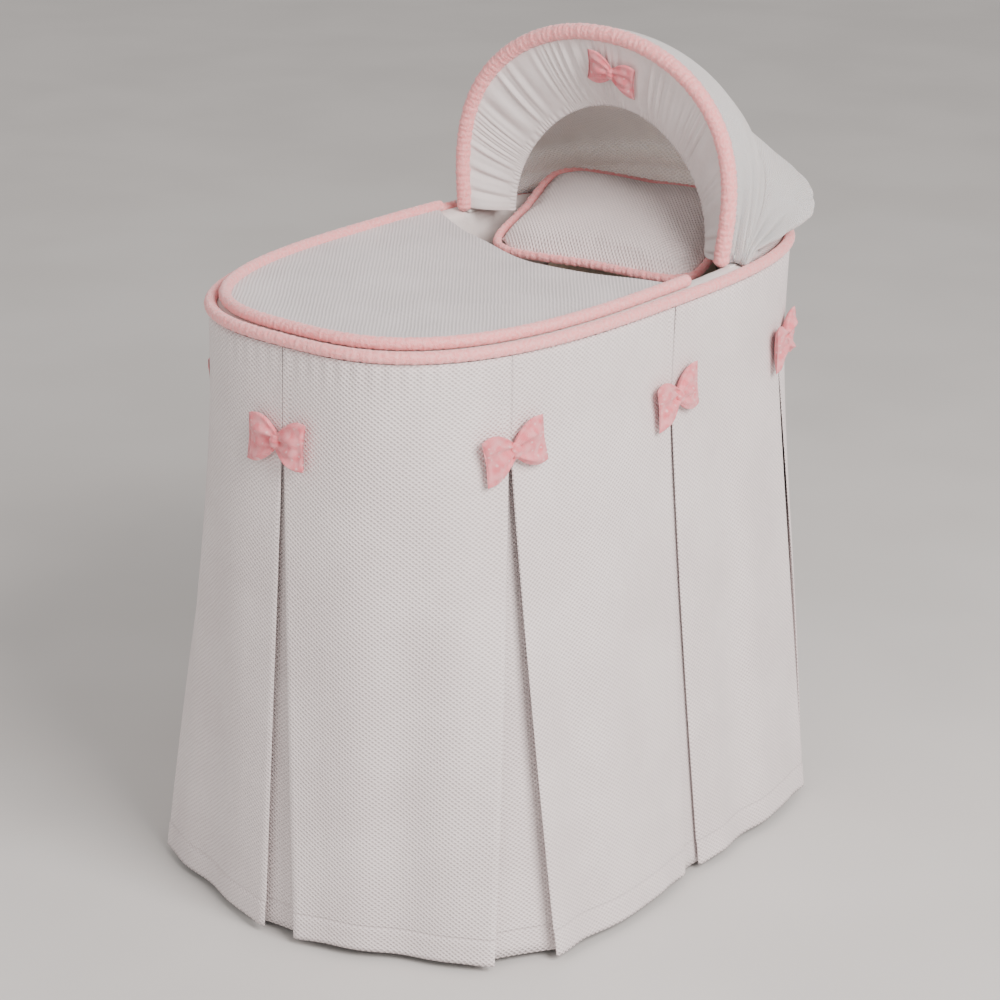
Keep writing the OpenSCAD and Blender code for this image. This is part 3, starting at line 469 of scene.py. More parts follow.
t = np.linspace(0, 2 * np.pi, 168, endpoint=False)
bend = np.linspace(-np.pi / 2, np.pi / 2, 15)
reach = [np.linspace(0.001, 0.9, 8), 1 - 0.045 * (1 - np.cos(bend)), np.linspace(0.945, 0.001, 26)]
reach = np.concatenate(reach)
level = np.concatenate([np.zeros(8), 0.5 + 0.5 * spow(np.sin(bend), 0.8), np.ones(26)])
xy = reach[:, None, None] * oval(t, MATTRESS_IN)[None]
quilt = np.sqrt(np.abs(np.sin(np.pi * xy[..., 0] / 85) * np.sin(np.pi * xy[..., 1] / 85))) - 1
z = MATTRESS_Z + 1 + (MATTRESS_T - 2) * level[:, None] + 4 * quilt * (level[:, None] > 0.95)
grid = np.concatenate([xy, z[..., None]], 2)
flat_map = np.concatenate([xy, xy[:, :1]], 1)
quilted = plain_cloth("quilted_cotton", (0.80, 0.775, 0.765), (0.70, 0.67, 0.66))
pad = surface("mattress_pad", grid, flat_map, around=True, weld=True)
place_piece(pad, "basket", quilted, "white_lining", "mattress")

# ======================================================================================
# Basket: foam block under the pillow
# A wedge cut from open-cell foam that props the pillow up at the head end.
PILLOW_AT, PILLOW_TURN, PILLOW_SLOPE = np.array([228.0, 9.0, RIM_Z + 9]), 8.0, 20.0
BLOCK_LEN, BLOCK_WID = 130.0, 200.0

lat = np.linspace(-np.pi / 2, np.pi / 2, 25)[:, None]
lon = np.linspace(0, 2 * np.pi, 64, endpoint=False)[None]
across = BLOCK_LEN / 2 * spow(np.cos(lat), 0.3) * spow(np.cos(lon), 0.3)
along = BLOCK_WID / 2 * spow(np.cos(lat), 0.3) * spow(np.sin(lon), 0.3)
low_z = MATTRESS_Z + MATTRESS_T + 0.3
high_z = PILLOW_AT[2] - 39 / np.cos(np.radians(PILLOW_SLOPE)) + across * np.tan(np.radians(PILLOW_SLOPE))
z = low_z + (high_z - low_z) * (0.5 + 0.5 * spow(np.sin(lat), 0.3))
c, s = np.cos(np.radians(PILLOW_TURN)), np.sin(np.radians(PILLOW_TURN))
grid = np.stack(np.broadcast_arrays(PILLOW_AT[0] + c * across - s * along, s * across + c * along, z), -1)
flat_map = np.concatenate([grid[..., [1, 2]], grid[:, :1][..., [1, 2]]], 1)
foam, tree, shader, place = new_material("open_cell_foam", 0.95)
cells = add(tree, "TexVoronoi", {"Vector": place, "Scale": 700.0})
cell = cells.outputs["Distance"]
# Painted shade: the pits of the cells are coloured darker than the cell walls.
paint(tree, shader, tint(tree, cell, (0.62, 0.58, 0.46), (0.80, 0.77, 0.66)), cell, 0.0006)
block = surface("foam_block", grid, flat_map, around=True, weld=True)
place_piece(block, "basket", foam, "white_foam", "pillow_riser")

# ======================================================================================
# Skirt: waistband
# A band of plain cotton, elasticated, that grips the basket under the rim roll.

f = np.linspace(0, 1, 720, endpoint=False)
rows = np.linspace(RIM_Z - 45, RIM_Z - 1.6, 10)
ease = 0.5 * np.sin(2 * np.pi * 200 * f)[None] * np.sin(np.pi * np.linspace(0, 1, 10))[:, None]
xy = rim_pt(f, 10.2)[None] - ease[..., None] * rim_out(f)[None]
grid = np.concatenate([xy, np.broadcast_to(rows[:, None, None], (10, 720, 1))], 2)
flat_map = np.stack(np.broadcast_arrays(np.linspace(0, PERIMETER, 721)[None], rows[:, None]), -1)
band = surface("waistband", grid, flat_map, around=True)
place_piece(thicken(band, 1.2), "basket", lining, "white_lining", "skirt_waistband")

# ======================================================================================
# Skirt: the eight panels
# White cotton pique with a small diamond waffle, hanging from the rim to just off the floor.
# Plain at the top, it opens below each bow into an inverted box pleat; the hem is turned up
# 30 mm and stitched.
SKIRT_IN, BOW_Z, HEM_Z = 5.5, RIM_Z - 102, 8.0
HEM_FLARE = {"end": 18.0, "side": 51.0, "corner": 85.0}
PLEAT_MOUTH = [31.0, 62.0, 31.0, 62.0, 40.0, 74.0, 24.0, 58.0]
PLEAT_DRIFT = np.array([[0, 0], [3, -4], [4, 0], [-8, 2], [0, -6], [16, -5], [10, 0], [6, 13]], float)
HEM_TURN = 30.0

# Waffle: diamonds with raised edges and a hollow middle, and loose yarn over them; the hollows also give a
# mask for painted shade
waffle, given, ends = new_group(
    "diamond_waffle", [("Vector", "Vector"), ("Wide", "Float"), ("High", "Float")],
    [("Height", "Float"), ("Hollow_Shade", "Float")])
axes = add(waffle, "SeparateXYZ", {0: given["Vector"]})
yarn = add(waffle, "TexNoise", {"Vector": given["Vector"], "Scale": 420.0, "Detail": 3.0})
drift = add(waffle, "TexNoise", {"Vector": given["Vector"], "Scale": 30.0, "Detail": 1.0})
lean = calc(waffle, "MULTIPLY", drift.outputs["Fac"], 0.5)
u = calc(waffle, "ADD", calc(waffle, "DIVIDE", axes.outputs["X"], given["Wide"]), lean)
v = calc(waffle, "DIVIDE", axes.outputs["Y"], given["High"])
one = calc(waffle, "PINGPONG", calc(waffle, "ADD", u, v), 0.5)
two = calc(waffle, "PINGPONG", calc(waffle, "SUBTRACT", u, v), 0.5)
hollow = calc(waffle, "POWER", calc(waffle, "MULTIPLY", calc(waffle, "MULTIPLY", one, two), 4.0), 0.8)
waffle.links.new(hollow, ends["Hollow_Shade"])
raised = calc(waffle, "MULTIPLY_ADD", yarn.outputs["Fac"], 0.35, calc(waffle, "SUBTRACT", 1.0, hollow))
waffle.links.new(raised, ends["Height"])

# Stitching: the groove where a seam sinks into the cloth at a set distance from an edge
stitch, given, ends = new_group("stitch_line", [("Away", "Float")], [("Groove", "Float")])
groove = ramp(stitch, calc(stitch, "ABSOLUTE", given["Away"]), 0.0004, 0.0022, 1.0, 0.0)
stitch.links.new(groove, ends["Groove"])


def waffle_cloth(name, light, dark, wide=0.0068, high=0.0052, hem=None, onto=None, glow=0.0):
    """Waffle pique: ridges in the light colour; hollows in the dark one as painted shade, and soft patches of
    tone towards it too; a diamond wide by high. hem is how far up the flat map its stitching runs, in metres,
    its groove painted darker as shade; onto is a place and a turn that the waffle follows instead of the flat
    map; glow is how much light soaks through."""
    made, tree, shader, place = new_material(
        name, 0.8, Sheen_Weight=0.25, Sheen_Roughness=0.45, Subsurface_Weight=glow,
        Subsurface_Radius=(1.0, 0.75, 0.65), Subsurface_Scale=0.02)
    if onto is None:
        where = laid_flat(tree)
    else:
        turned = {"Vector": place, "Location": onto[0], "Rotation": onto[1]}
        where = add(tree, "Mapping", turned, vector_type="TEXTURE").outputs[0]
    cloth = use(tree, waffle, Vector=where, Wide=wide, High=high)
    patches = use(tree, mottle, Vector=place, Size=0.09, Stretch=(1, 1, 1))
    # Painted shade in the waffle's hollows, over soft patches of tone that are the cloth's own.
    patches_and_hollow_shade = calc(tree, "MULTIPLY_ADD", patches["Patches"], 0.2, calc(tree, "MULTIPLY", cloth["Hollow_Shade"], 0.75))
    colour, height = tint(tree, patches_and_hollow_shade, light, dark), cloth["Height"]
    if hem is not None:
        axes = add(tree, "SeparateXYZ", {0: where})
        away = calc(tree, "SUBTRACT", axes.outputs["Y"], hem)
        seam = use(tree, stitch, Away=away)
        # Painted shade in the stitched groove of the hem.
        colour = tint(tree, calc(tree, "MULTIPLY", seam["Groove"], 0.25), colour, dark)
        height = calc(tree, "MULTIPLY_ADD", seam["Groove"], -0.6, height)
    paint(tree, shader, colour, height, 0.0014)
    return made


WHITE, WHITE_SHADE = (0.86, 0.785, 0.78), (0.56, 0.475, 0.48)
skirt_cloth = waffle_cloth("waffle_skirt", WHITE, WHITE_SHADE, hem=HEM_TURN / 1000)


def hem_corner(k):
    """Where pleat k reaches the hem: out from the rim by its flare, the corner pleats on a slant."""
    k = k % 8
    start = rim_pt(np.array(k / 8))
    if k % 2:
        way = np.array([0.75 * np.sign(start[0]), np.sign(start[1])]) / np.hypot(0.75, 1)
        return start + HEM_FLARE["corner"] * way + PLEAT_DRIFT[k]
    return start + HEM_FLARE["end" if k % 4 == 0 else "side"] * rim_out(np.array(k / 8)) + PLEAT_DRIFT[k]


def falling(z):
    """0 at the bows and above, 1 at the hem."""
    return np.clip((BOW_Z - z) / (BOW_Z - HEM_Z), 0, 1)


def skirt_pt(f, z, k):
    """Point of the skirt's outer face: the rim's point, carried towards the hem's chord between
    pleats k and k + 1 by the fall to the power 1.1. Also the outward direction there."""
    g = f * 8 - k
    top, a, b = rim_pt(f, SKIRT_IN), hem_corner(k), hem_corner(k + 1)
    square = np.array([b[1] - a[1], a[0] - b[0]]) / np.linalg.norm(b - a)
    hem = a + (b - a) * g[..., None] + square * (8 * np.sin(np.pi * np.clip(g, 0, 1)))[..., None]
    u = falling(z)[..., None] ** 1.1
    out = rim_out(f) * (1 - u) + square * u
    return top + (hem - top) * u, out / np.linalg.norm(out, axis=-1, keepdims=True)


def mouth(k, z):
    """Half the mouth of pleat k at a height: sewn shut down to the bow, then opening evenly to the hem."""
    return 0.03 + (PLEAT_MOUTH[k % 8] / 2 - 0.03) * falling(z) ** 1.1 + 0.8 * np.clip(falling(z) / 0.04, 0, 1)


FLUTES = [(1.6, 0.4, 0.9), (1.3, 2.6, 0.3), (1.8, 1.1, 1.9), (1.4, 0.2, 2.2),
          (1.5, 5.6, 0.8), (1.2, 3.4, 1.5), (1.7, 0.9, 2.8), (1.4, 2.0, 0.1)]
for k in range(8):
    plain_top, pleated = np.linspace(RIM_Z - 0.4, BOW_Z + 8, 12), np.linspace(BOW_Z, 46, 58)
    turned_up = [41, 38.8, 37.6, 36, 30, 24, 18, 13, HEM_Z]
    z = np.concatenate([plain_top, pleated, turned_up])[:, None]
    g = np.concatenate([[0, 0.0014, 0.005], np.linspace(0.012, 0.988, 90), [0.995, 0.9986, 1]])[None]
    near, far = mouth(k, z) / PERIMETER, 1 / 8 - mouth(k + 1, z) / PERIMETER
    f = k / 8 + near + (far - near) * g
    xy, out = skirt_pt(f, z + 0 * g, k)
    fall = falling(z) ** 0.8
    span = np.linalg.norm(xy[:, -1] - xy[:, 0], axis=1)[:, None]
    # Flutes that widen towards the hem and die out at the pleats' edges
    beats, one, two = FLUTES[k]
    ripple = 0.35 * np.sin(2 * np.pi * (beats * 1.9) * g + two + 0.8 * fall)
    wave = np.sin(2 * np.pi * beats * g + one) + ripple
    fade = np.clip(g / 0.2, 0, 1) * np.clip((1 - g) / 0.2, 0, 1)
    lift = wave * fade * (0.7 + 2.9 * np.sin(np.pi * np.clip(fall, 0, 1) ** 1.4 * 0.72))
    # Small puckers where the cloth is gathered into the piping
    lift = lift + 0.7 * np.sin(2 * np.pi * 15 * g + one) * np.exp(-((RIM_Z - z) / 26) ** 2)
    # The folded edges of the pleats roll in, and the turned hem stands a little proud
    edge = np.minimum(g, 1 - g) * span
    open_here = np.clip(falling(z) / 0.06, 0, 1)
    lift = lift - (0.9 + 1.6 * fall) * open_here * np.clip(1 - edge / (3 + 4 * fall), 0, 1) ** 2
    lift = lift + 0.9 * np.clip((HEM_Z + HEM_TURN - z) / 1.5, 0, 1)
    xy = xy + lift[..., None] * out
    # The hem is not quite level
    low = (1.0 * np.sin(2 * np.pi * g + two) + 2.2 - 2.2 * np.clip(1 - edge / 40, 0, 1)) * fall ** 6
    front = np.concatenate([xy, (z + low)[..., None]], 2)
    # Behind each edge the cloth turns back and follows the panel for 24 mm
    q = np.arange(1, 9) / 8
    back = np.concatenate([-out, np.zeros((*out.shape[:2], 1))], 2)
    deep = ((1.3 + 2.6 * fall) * np.sqrt(q))[..., None]
    ways = [(front[:, 1:9] + back[:, 1:9] * deep)[:, ::-1], front[:, -2:-10:-1] + back[:, -2:-10:-1] * deep]
    grid = np.concatenate([ways[0], front, ways[1]], 1)
    high = np.concatenate([[0], np.cumsum(np.linalg.norm(np.diff(grid[::-1, 54], axis=0), axis=1))])[::-1]
    step = np.cumsum(np.linalg.norm(np.diff(grid, axis=1), axis=2), axis=1)
    step = np.concatenate([np.zeros((len(z), 1)), step], 1)
    middle = (step[:, [55]] + step[:, [56]]) / 2
    along = (k + 0.5) * PERIMETER / 8 + step - middle
    flat_map = np.stack([along, np.broadcast_to(high[:, None], step.shape)], -1)
    panel = surface(f"skirt_panel_cloth_{k + 1}", grid, flat_map, flip=True)
    place_piece(thicken(panel, 1.1), "basket", skirt_cloth, "white_waffle", f"skirt_panel_{k + 1}")

# ======================================================================================
# Skirt: pleat inserts
# The cloth at the back of each box pleat, the same pique, sewn in behind the panels' edges.

for k in range(8):
    z = np.concatenate([[BOW_Z - 4], np.linspace(BOW_Z - 12, HEM_Z + 0.5, 50)])[:, None]
    g = np.linspace(-1, 1, 26)[None]
    half = (PLEAT_MOUTH[k] / 2 + 20) / PERIMETER
    sink = (4.6 + 2.2 * falling(z))[..., None]
    before, before_out = skirt_pt(k / 8 + (k == 0) - half + 0 * z, z, (k - 1) % 8)
    after, after_out = skirt_pt(k / 8 + half + 0 * z, z, k)
    before, after = before - sink * before_out, after - sink * after_out
    middle_out = before_out + after_out
    middle_out /= np.linalg.norm(middle_out, axis=-1, keepdims=True)
    part = (0.5 + 0.5 * g)[..., None]
    hollow = 2.0 * np.sin(np.pi * part) * falling(z)[..., None]
    xy = before + (after - before) * part - hollow * middle_out
    grid = np.concatenate([xy, np.broadcast_to(z[..., None], (*xy.shape[:2], 1))], 2)
    width = np.concatenate([[0], np.cumsum(np.linalg.norm(np.diff(grid[25], axis=0), axis=1))])
    flat_map = np.stack(np.broadcast_arrays(width[None], z * 1.01 - HEM_Z), -1)
    insert = surface(f"pleat_insert_{k + 1}", grid, flat_map, flip=True)
    place_piece(thicken(insert, 1.1), "basket", skirt_cloth, "white_waffle", "pleat_inserts")

# ======================================================================================
# Skirt: rolled piping
# Pale pink plush, ruched over a soft cord and sewn round the top of the skirt.
RUCHE = 9.0


def ruched(length, sides, pieces, radius, depth, seed, whole):
    """Radius over a ruched tube: short crosswise puckers, each a sine round and along the tube with
    its own phase, summed. Along a closed tube each goes round a whole number of times."""
    rng = np.random.default_rng(seed)
    s = np.linspace(0, 1, pieces, endpoint=not whole)[:, None]
    a = np.linspace(0, 2 * np.pi, sides, endpoint=False)[None]
    out = np.zeros((pieces, sides))
    for share, pitch in ((0.5, 1.0), (0.35, 0.63), (0.3, 1.7), (0.25, 2.6)):
        count = round(length / (RUCHE * pitch))
        swing = 1.6 * np.sin(2 * np.pi * rng.integers(3, 9) * s + rng.uniform(0, 6))
        out += share * np.sin(2 * np.pi * count * s + rng.integers(-1, 2) * a + swing + rng.uniform(0, 6))
    return radius - depth + depth * np.clip(out, -1, 1)


# Plush: a short, uneven nap
plush, given, ends = new_group("plush_nap", [("Vector", "Vector")], [("Height", "Float"), ("Shade", "Float")])
nap = add(plush, "TexNoise", {"Vector": given["Vector"], "Scale": 900.0, "Detail": 3.0})
tufts = add(plush, "TexNoise", {"Vector": given["Vector"], "Scale": 260.0, "Detail": 2.0})
plush.links.new(calc(plush, "MULTIPLY_ADD", tufts.outputs["Fac"], 1.5, nap.outputs["Fac"]), ends["Height"])
plush.links.new(ramp(plush, tufts.outputs["Fac"], 0.35, 0.65), ends["Shade"])

PINK, PINK_TIPS = (0.99, 0.34, 0.345), (1.0, 0.46, 0.46)
pink_plush, tree, shader, place = new_material("pink_plush", 0.9, Sheen_Weight=0.6, Sheen_Roughness=0.35)
pile = use(tree, plush, Vector=laid_flat(tree))
paint(tree, shader, tint(tree, pile["Shade"], PINK, PINK_TIPS), pile["Height"], 0.0011)

f = np.linspace(0, 1, 1500, endpoint=False)
path = np.concatenate([rim_pt(f, PIPING_D / 2), np.full((1500, 1), RIM_Z + PIPING_D / 2)], 1)
grid = tube(path, ruched(PERIMETER, 18, 1500, PIPING_D / 2 + 0.2, 0.42, 3, True), (0, 0, 1), True)
piping = surface("skirt_piping_roll", grid, tube_flat(grid, PIPING_D / 2), around=True, weld=True)
place_piece(piping, "basket", pink_plush, "pink_plush", "skirt_piping")

# ======================================================================================
# Skirt: tied bows
# A strip of pink cotton folded into two wings, pinched in the middle by a band and sewn on
# where each pleat opens.
BOW_W, BOW_H, BOW_DEEP = 80.0, 56.0, 17.0

ribbon, tree, shader, place = new_material("pink_ribbon", 0.75, Sheen_Weight=0.3, Sheen_Roughness=0.4)
flat = laid_flat(tree)
threads = use(tree, plain, Vector=flat, Pitch=0.0009)
sprigs = add(tree, "TexVoronoi", {"Vector": flat, "Scale": 170.0, "Randomness": 0.75})
spots = ramp(tree, sprigs.outputs["Distance"], 0.12, 0.3, 1.0, 0.0)
printed = use(tree, mottle, Vector=flat, Size=0.009, Stretch=(1, 1, 1))
faded = calc(tree, "MULTIPLY_ADD", printed["Patches"], 0.7, calc(tree, "MULTIPLY", threads["Slub"], 0.3))
colour = tint(tree, faded, (0.91, 0.16, 0.20), (0.99, 0.42, 0.45))
colour = tint(tree, calc(tree, "MULTIPLY", spots, 0.6), colour, (1.0, 0.70, 0.71))
paint(tree, shader, colour, threads["Height"], 0.0004)


def tied_bow(name, body, node, at, right, up, width, tilt, seed, droop):
    """A bow: two wings, each a flat tube from the knot outwards whose height grows with the distance
    and whose ends curl shut, creased towards the knot, and a pinched band round the middle.
    right and up are its directions on the cloth; it is tilted in degrees from them, and droop is
    how far the end of each wing rises."""
    rng = np.random.default_rng(seed)
    out = np.cross(right, up)
    size = width / BOW_W
    c, s = np.cos(np.radians(tilt)), np.sin(np.radians(tilt))
    right, up = c * right + s * up, c * up - s * right
    grids, flats = [], []
    for side, fall in ((-1, droop[0]), (1, droop[1])):
        b = np.linspace(0, 1, 26)[:, None]
        a = np.linspace(0, 2 * np.pi, 48, endpoint=False)[None]
        x = side * BOW_W / 2 * b * (0.90 + 0.10 * np.cos(a) ** 2)
        spread = 0.26 + 0.74 * np.sin(np.pi / 2 * np.clip(b * 1.25, 0, 1)) ** 0.8
        tall = BOW_H / 2 * spread * (1 - 0.07 * b ** 6)
        v = spow(np.cos(a), 0.8)
        deep = BOW_DEEP / 2 * (0.5 + 0.5 * np.sin(np.pi * b ** 0.9)) * np.sqrt(1 - b ** 8)
        fan = 1 - 2 * np.abs(np.sin(5.5 * v + rng.uniform(0, 3))) ** 0.7 * (1 - 0.5 * b)
        fan = fan - 1.1 * np.abs(np.sin(2.6 * v + 1.5 * b + rng.uniform(0, 3)))
        dent = 1.1 * np.exp(-((b - 0.93) / 0.16) ** 2 - ((v + 0.25) / 0.45) ** 2)
        creases = 4.4 * fan * np.clip(np.sin(a), 0, 1) * np.sin(np.pi * np.clip(b + 0.1, 0, 1)) ** 0.5
        y = deep * np.sin(a) * (1 - dent * (np.sin(a) > 0)) + creases
        y = y + BOW_DEEP / 2 + 0.8
        z = tall * v + fall * b ** 1.4
        point = np.stack(np.broadcast_arrays(x, y, z), -1)
        cap = point[-1:].mean(1, keepdims=True)
        point = np.concatenate([point, cap + 0.55 * (point[-1:] - cap), np.repeat(cap, 48, 1)])
        grids.append(point if side > 0 else point[:, ::-1])
        flats.append(np.stack([point[..., 0], point[..., 2]], -1))
    b = np.linspace(-np.pi / 2, np.pi / 2, 12)[:, None]
    a = np.linspace(0, 2 * np.pi, 48, endpoint=False)[None]
    ridge = 1 + 0.07 * np.cos(9 * a)
    knot = [6.4 * np.sin(b) * 0.95, BOW_DEEP / 2 + 0.8 + 7.2 * np.cos(b) ** 0.5 * np.sin(a) * ridge,
            8.6 * np.cos(b) ** 0.5 * np.cos(a) * ridge]
    knot = np.stack(np.broadcast_arrays(*knot), -1)
    grids.append(knot)
    flats.append(np.stack([knot[..., 0], knot[..., 2]], -1))
    made = []
    for part, (g, fl) in enumerate(zip(grids, flats)):
        world = at + size * (g[..., :1] * right + g[..., 1:2] * out + g[..., 2:] * up)
        whole = np.concatenate([fl, fl[:, :1]], 1) * size
        made.append(surface(f"{name}_{part}", world, whole, around=True, weld=True))
    work = bmesh.new()
    for piece in made:
        work.from_mesh(piece.data)
    bmesh.ops.recalc_face_normals(work, faces=work.faces)
    mesh = bpy.data.meshes.new(name)
    work.to_mesh(mesh)
    work.free()
    for piece in made:
        bpy.data.objects.remove(piece)
    bow = bpy.data.objects.new(name, mesh)
    bpy.context.scene.collection.objects.link(bow)
    place_piece(bow, body, ribbon, "pink_ribbon", node)


TILTS = [4, -6, 7, -5, -3, 10, 8, 5]
for k in range(8):
    out = rim_out(np.array(k / 8))
    at = np.array([*rim_pt(np.array(k / 8), SKIRT_IN - 0.6), BOW_Z])
    along, upright = np.array([-out[1], out[0], 0.0]), np.array([0, 0, 1.0])
    name = f"skirt_bow_{k + 1}"
    tied_bow(name, "basket", "skirt_bows", at, along, upright, BOW_W, TILTS[k], 20 + k, (-4.0, 2.0))

# ======================================================================================
# Pillow
# A small feather pillow in the same pique, plump, its corners soft and a little empty,
# sloping up on the foam block.
PILLOW_LEN, PILLOW_WID, PILLOW_T, PILLOW_PIPING = 200.0, 290.0, 70.0, 11.0
SIM_FRAMES, SIM_REACH = 20, 4.0

pillow_turn = Euler((0, -np.radians(PILLOW_SLOPE), 0)).to_matrix()
pillow_turn = Matrix.Rotation(np.radians(PILLOW_TURN), 3, "Z") @ pillow_turn
on_pillow = np.array(pillow_turn)


def pillow_outline(theta, share):
    """Rounded rectangle whose sides pull in between the corners, scaled towards the middle."""
    corner = 0.16
    x = PILLOW_LEN / 2 * spow(np.cos(theta), corner * 2)
    y = PILLOW_WID / 2 * spow(np.sin(theta), corner * 2)
    pull = 5.5 * (1 - np.abs(np.sin(2 * theta)) ** 0.35)
    return np.stack([(x - pull * np.sign(x) * (np.abs(np.cos(theta)) > 0.7)) * share,
                     (y - pull * np.sign(y) * (np.abs(np.sin(theta)) > 0.7)) * share], -1)


theta = np.linspace(0, 2 * np.pi, 160, endpoint=False)[None]
lat = np.linspace(-np.pi / 2, np.pi / 2, 61)[:, None]
share = np.clip(np.cos(lat), 0, 1) ** 0.62 * 0.955
xy = pillow_outline(theta, share)
puckers = 1 + 0.05 * np.cos(11 * theta + 1.0) * np.exp(-((share - 0.86) / 0.12) ** 2)
crown = (PILLOW_T / 2 - 4) * np.clip(1 - (share / 0.955) ** 2, 0, 1) ** 0.8 * np.sign(lat) * puckers
grid = np.concatenate([xy, np.broadcast_to(crown[..., None], (*xy.shape[:2], 1))], 2)
grid = grid @ on_pillow.T + PILLOW_AT
flat_map = np.concatenate([xy, xy[:, :1]], 1)
# Painted light: the pillow's pique is coloured lighter than the same pique on the skirt.
pillow_cloth = waffle_cloth("waffle_pillow", (0.92, 0.81, 0.80), (0.64, 0.53, 0.53), wide=0.0058, high=0.0046,
                            onto=(tuple(PILLOW_AT / 1000), tuple(pillow_turn.to_euler())))
pillow = surface("pillow_case", grid, flat_map, around=True, weld=True)


def plump(made, voxel, pressure, frames, reach):
    """Blows a closed cloth form up with the cloth simulation and keeps the result, with no point
    moved further than reach."""
    bpy.context.view_layer.objects.active = made
    remesh = made.modifiers.new("even", "REMESH")
    remesh.mode, remesh.voxel_size = "VOXEL", voxel * 0.001
    bpy.ops.object.modifier_apply(modifier="even")
    rest = np.zeros(len(made.data.vertices) * 3)
    made.data.vertices.foreach_get("co", rest)
    cloth = made.modifiers.new("air", "CLOTH")
    cloth.settings.use_pressure = True
    cloth.settings.uniform_pressure_force = pressure
    cloth.settings.effector_weights.gravity = 0.0
    cloth.settings.quality = 5
    cloth.settings.tension_stiffness = cloth.settings.compression_stiffness = 12.0
    cloth.settings.bending_stiffness = 0.4
    cloth.point_cache.frame_start, cloth.point_cache.frame_end = 1, frames
    for number in range(1, frames + 1):
        bpy.context.scene.frame_set(number)
    blown = made.evaluated_get(bpy.context.evaluated_depsgraph_get())
    moved = np.zeros(len(rest))
    blown.data.vertices.foreach_get("co", moved)
    shift = (moved - rest).reshape(-1, 3)
    far = np.linalg.norm(shift, axis=1, keepdims=True)
    shift *= np.minimum(1, reach * 0.001 / np.maximum(far, 1e-9))
    made.modifiers.remove(cloth)
    made.data.vertices.foreach_set("co", (rest.reshape(-1, 3) + shift).ravel())
    made.data.update()
    bpy.context.scene.frame_set(1)
    finer = made.modifiers.new("finer", "SUBSURF")
    finer.levels = finer.render_levels = 1
    bpy.ops.object.modifier_apply(modifier="finer")
    made.data.polygons.foreach_set("use_smooth", np.ones(len(made.data.polygons), bool))


plump(pillow, 5.0, 4.0, SIM_FRAMES, SIM_REACH)
place_piece(pillow, "basket", pillow_cloth, "white_waffle", "pillow")

theta = np.linspace(0, 2 * np.pi, 900, endpoint=False)
outline = pillow_outline(theta, 1 - PILLOW_PIPING / 2 / (PILLOW_WID / 2))
closed = np.concatenate([outline, outline[:1]])
steps = np.concatenate([[0], np.cumsum(np.linalg.norm(np.diff(closed, axis=0), axis=1))])
even = np.interp(np.linspace(0, steps[-1], 620, endpoint=False), steps, np.arange(901))
outline = np.stack([np.interp(even, np.arange(901), closed[:, k]) for k in (0, 1)], -1)
path = np.concatenate([outline, np.zeros((620, 1))], 1) @ on_pillow.T + PILLOW_AT
puckered = ruched(steps[-1], 14, 620, PILLOW_PIPING / 2 + 0.3, 0.6, 11, True)
grid = tube(path, puckered, on_pillow @ np.array([0, 0, 1.0]), True)
edging = surface("pillow_edging", grid, tube_flat(grid, PILLOW_PIPING / 2), around=True, weld=True)
place_piece(edging, "basket", pink_plush, "pink_plush", "pillow_piping")

# ======================================================================================
# Coverlet
# An oval of waffle pique, lined, that fits over the foot end with elastic in its piping; its
# head edge is a soft fold that lies a little askew under the pillow.
COVER_Z, COVER_PIPE_Z, COVER_PIPE_IN = 707.5, 709.5, 21.6
COVER_NEAR_X, COVER_FAR_X, COVER_SCOOP = 45.0, 118.0, 62.0


def foot_side(inset, count):
    """The oval, set in, from the coverlet's near head corner round the foot end to the far one: that
    many points evenly by length, and the length."""
    a = HALF_LEN - inset
    near = 2 * np.pi - np.arccos((COVER_NEAR_X / a) ** (SQUARE / 2))
    far = np.arccos((COVER_FAR_X / a) ** (SQUARE / 2))
    fine = oval(np.linspace(near, far, 1441), inset)
    steps = np.concatenate([[0], np.cumsum(np.linalg.norm(np.diff(fine, axis=0), axis=1))])
    want = np.linspace(0, steps[-1], count)
    return np.stack([np.interp(want, steps, fine[:, k]) for k in (0, 1)], -1), steps[-1]


edge, _ = foot_side(COVER_PIPE_IN + 2.5, 260)
h = np.linspace(0, 1, 260)
scoop = edge[:1] + (edge[-1:] - edge[:1]) * h[:, None]
scoop[:, 0] -= COVER_SCOOP * np.sin(np.pi * h) ** 0.8
r = np.linspace(0, 1, 90)[:, None, None]
xy = edge[None] + (scoop - edge)[None] * r
span = np.linalg.norm(scoop - edge, axis=1)[None]
inside = np.minimum(r[..., 0] * span, 60) / 60
x, y = xy[..., 0], xy[..., 1]
dip = 5.0 * inside * np.exp(-((x + 60) / 190) ** 2 - (y / 120) ** 2)
swell = 1.6 * inside * np.sin(x / 31 + y / 55) * np.sin(y / 43 - 0.7)
z = COVER_Z + 0.2 - dip + swell + 1.1 * inside * np.sin(x / 17 - y / 29 + 1)
fold = np.clip(1 - (1 - r[..., 0]) * span / 9, 0, 1)
ruck = 2.4 * np.clip(1 - (1 - r[..., 0]) * span / 30, 0, 1) * np.sin(np.pi * h * 3 + 0.4) * np.sin(np.pi * h)
z = z - 4.2 * fold ** 2 + ruck
grid = np.concatenate([xy, z[..., None]], 2)
COVER, COVER_SHADE = (0.75, 0.695, 0.705), (0.47, 0.43, 0.44)
cover_cloth = waffle_cloth("waffle_coverlet", COVER, COVER_SHADE, wide=0.0066, high=0.005)
cover = surface("coverlet_cloth", grid, xy, weld=True, flip=True)
work = bmesh.new()
work.from_mesh(cover.data)
bmesh.ops.recalc_face_normals(work, faces=work.faces)
if sum(face.normal.z for face in work.faces) < 0:
    bmesh.ops.reverse_faces(work, faces=work.faces)
work.to_mesh(cover.data)
work.free()
thicken(cover, 1.8)
place_piece(cover, "coverlet_body", cover_cloth, "white_waffle", "coverlet")

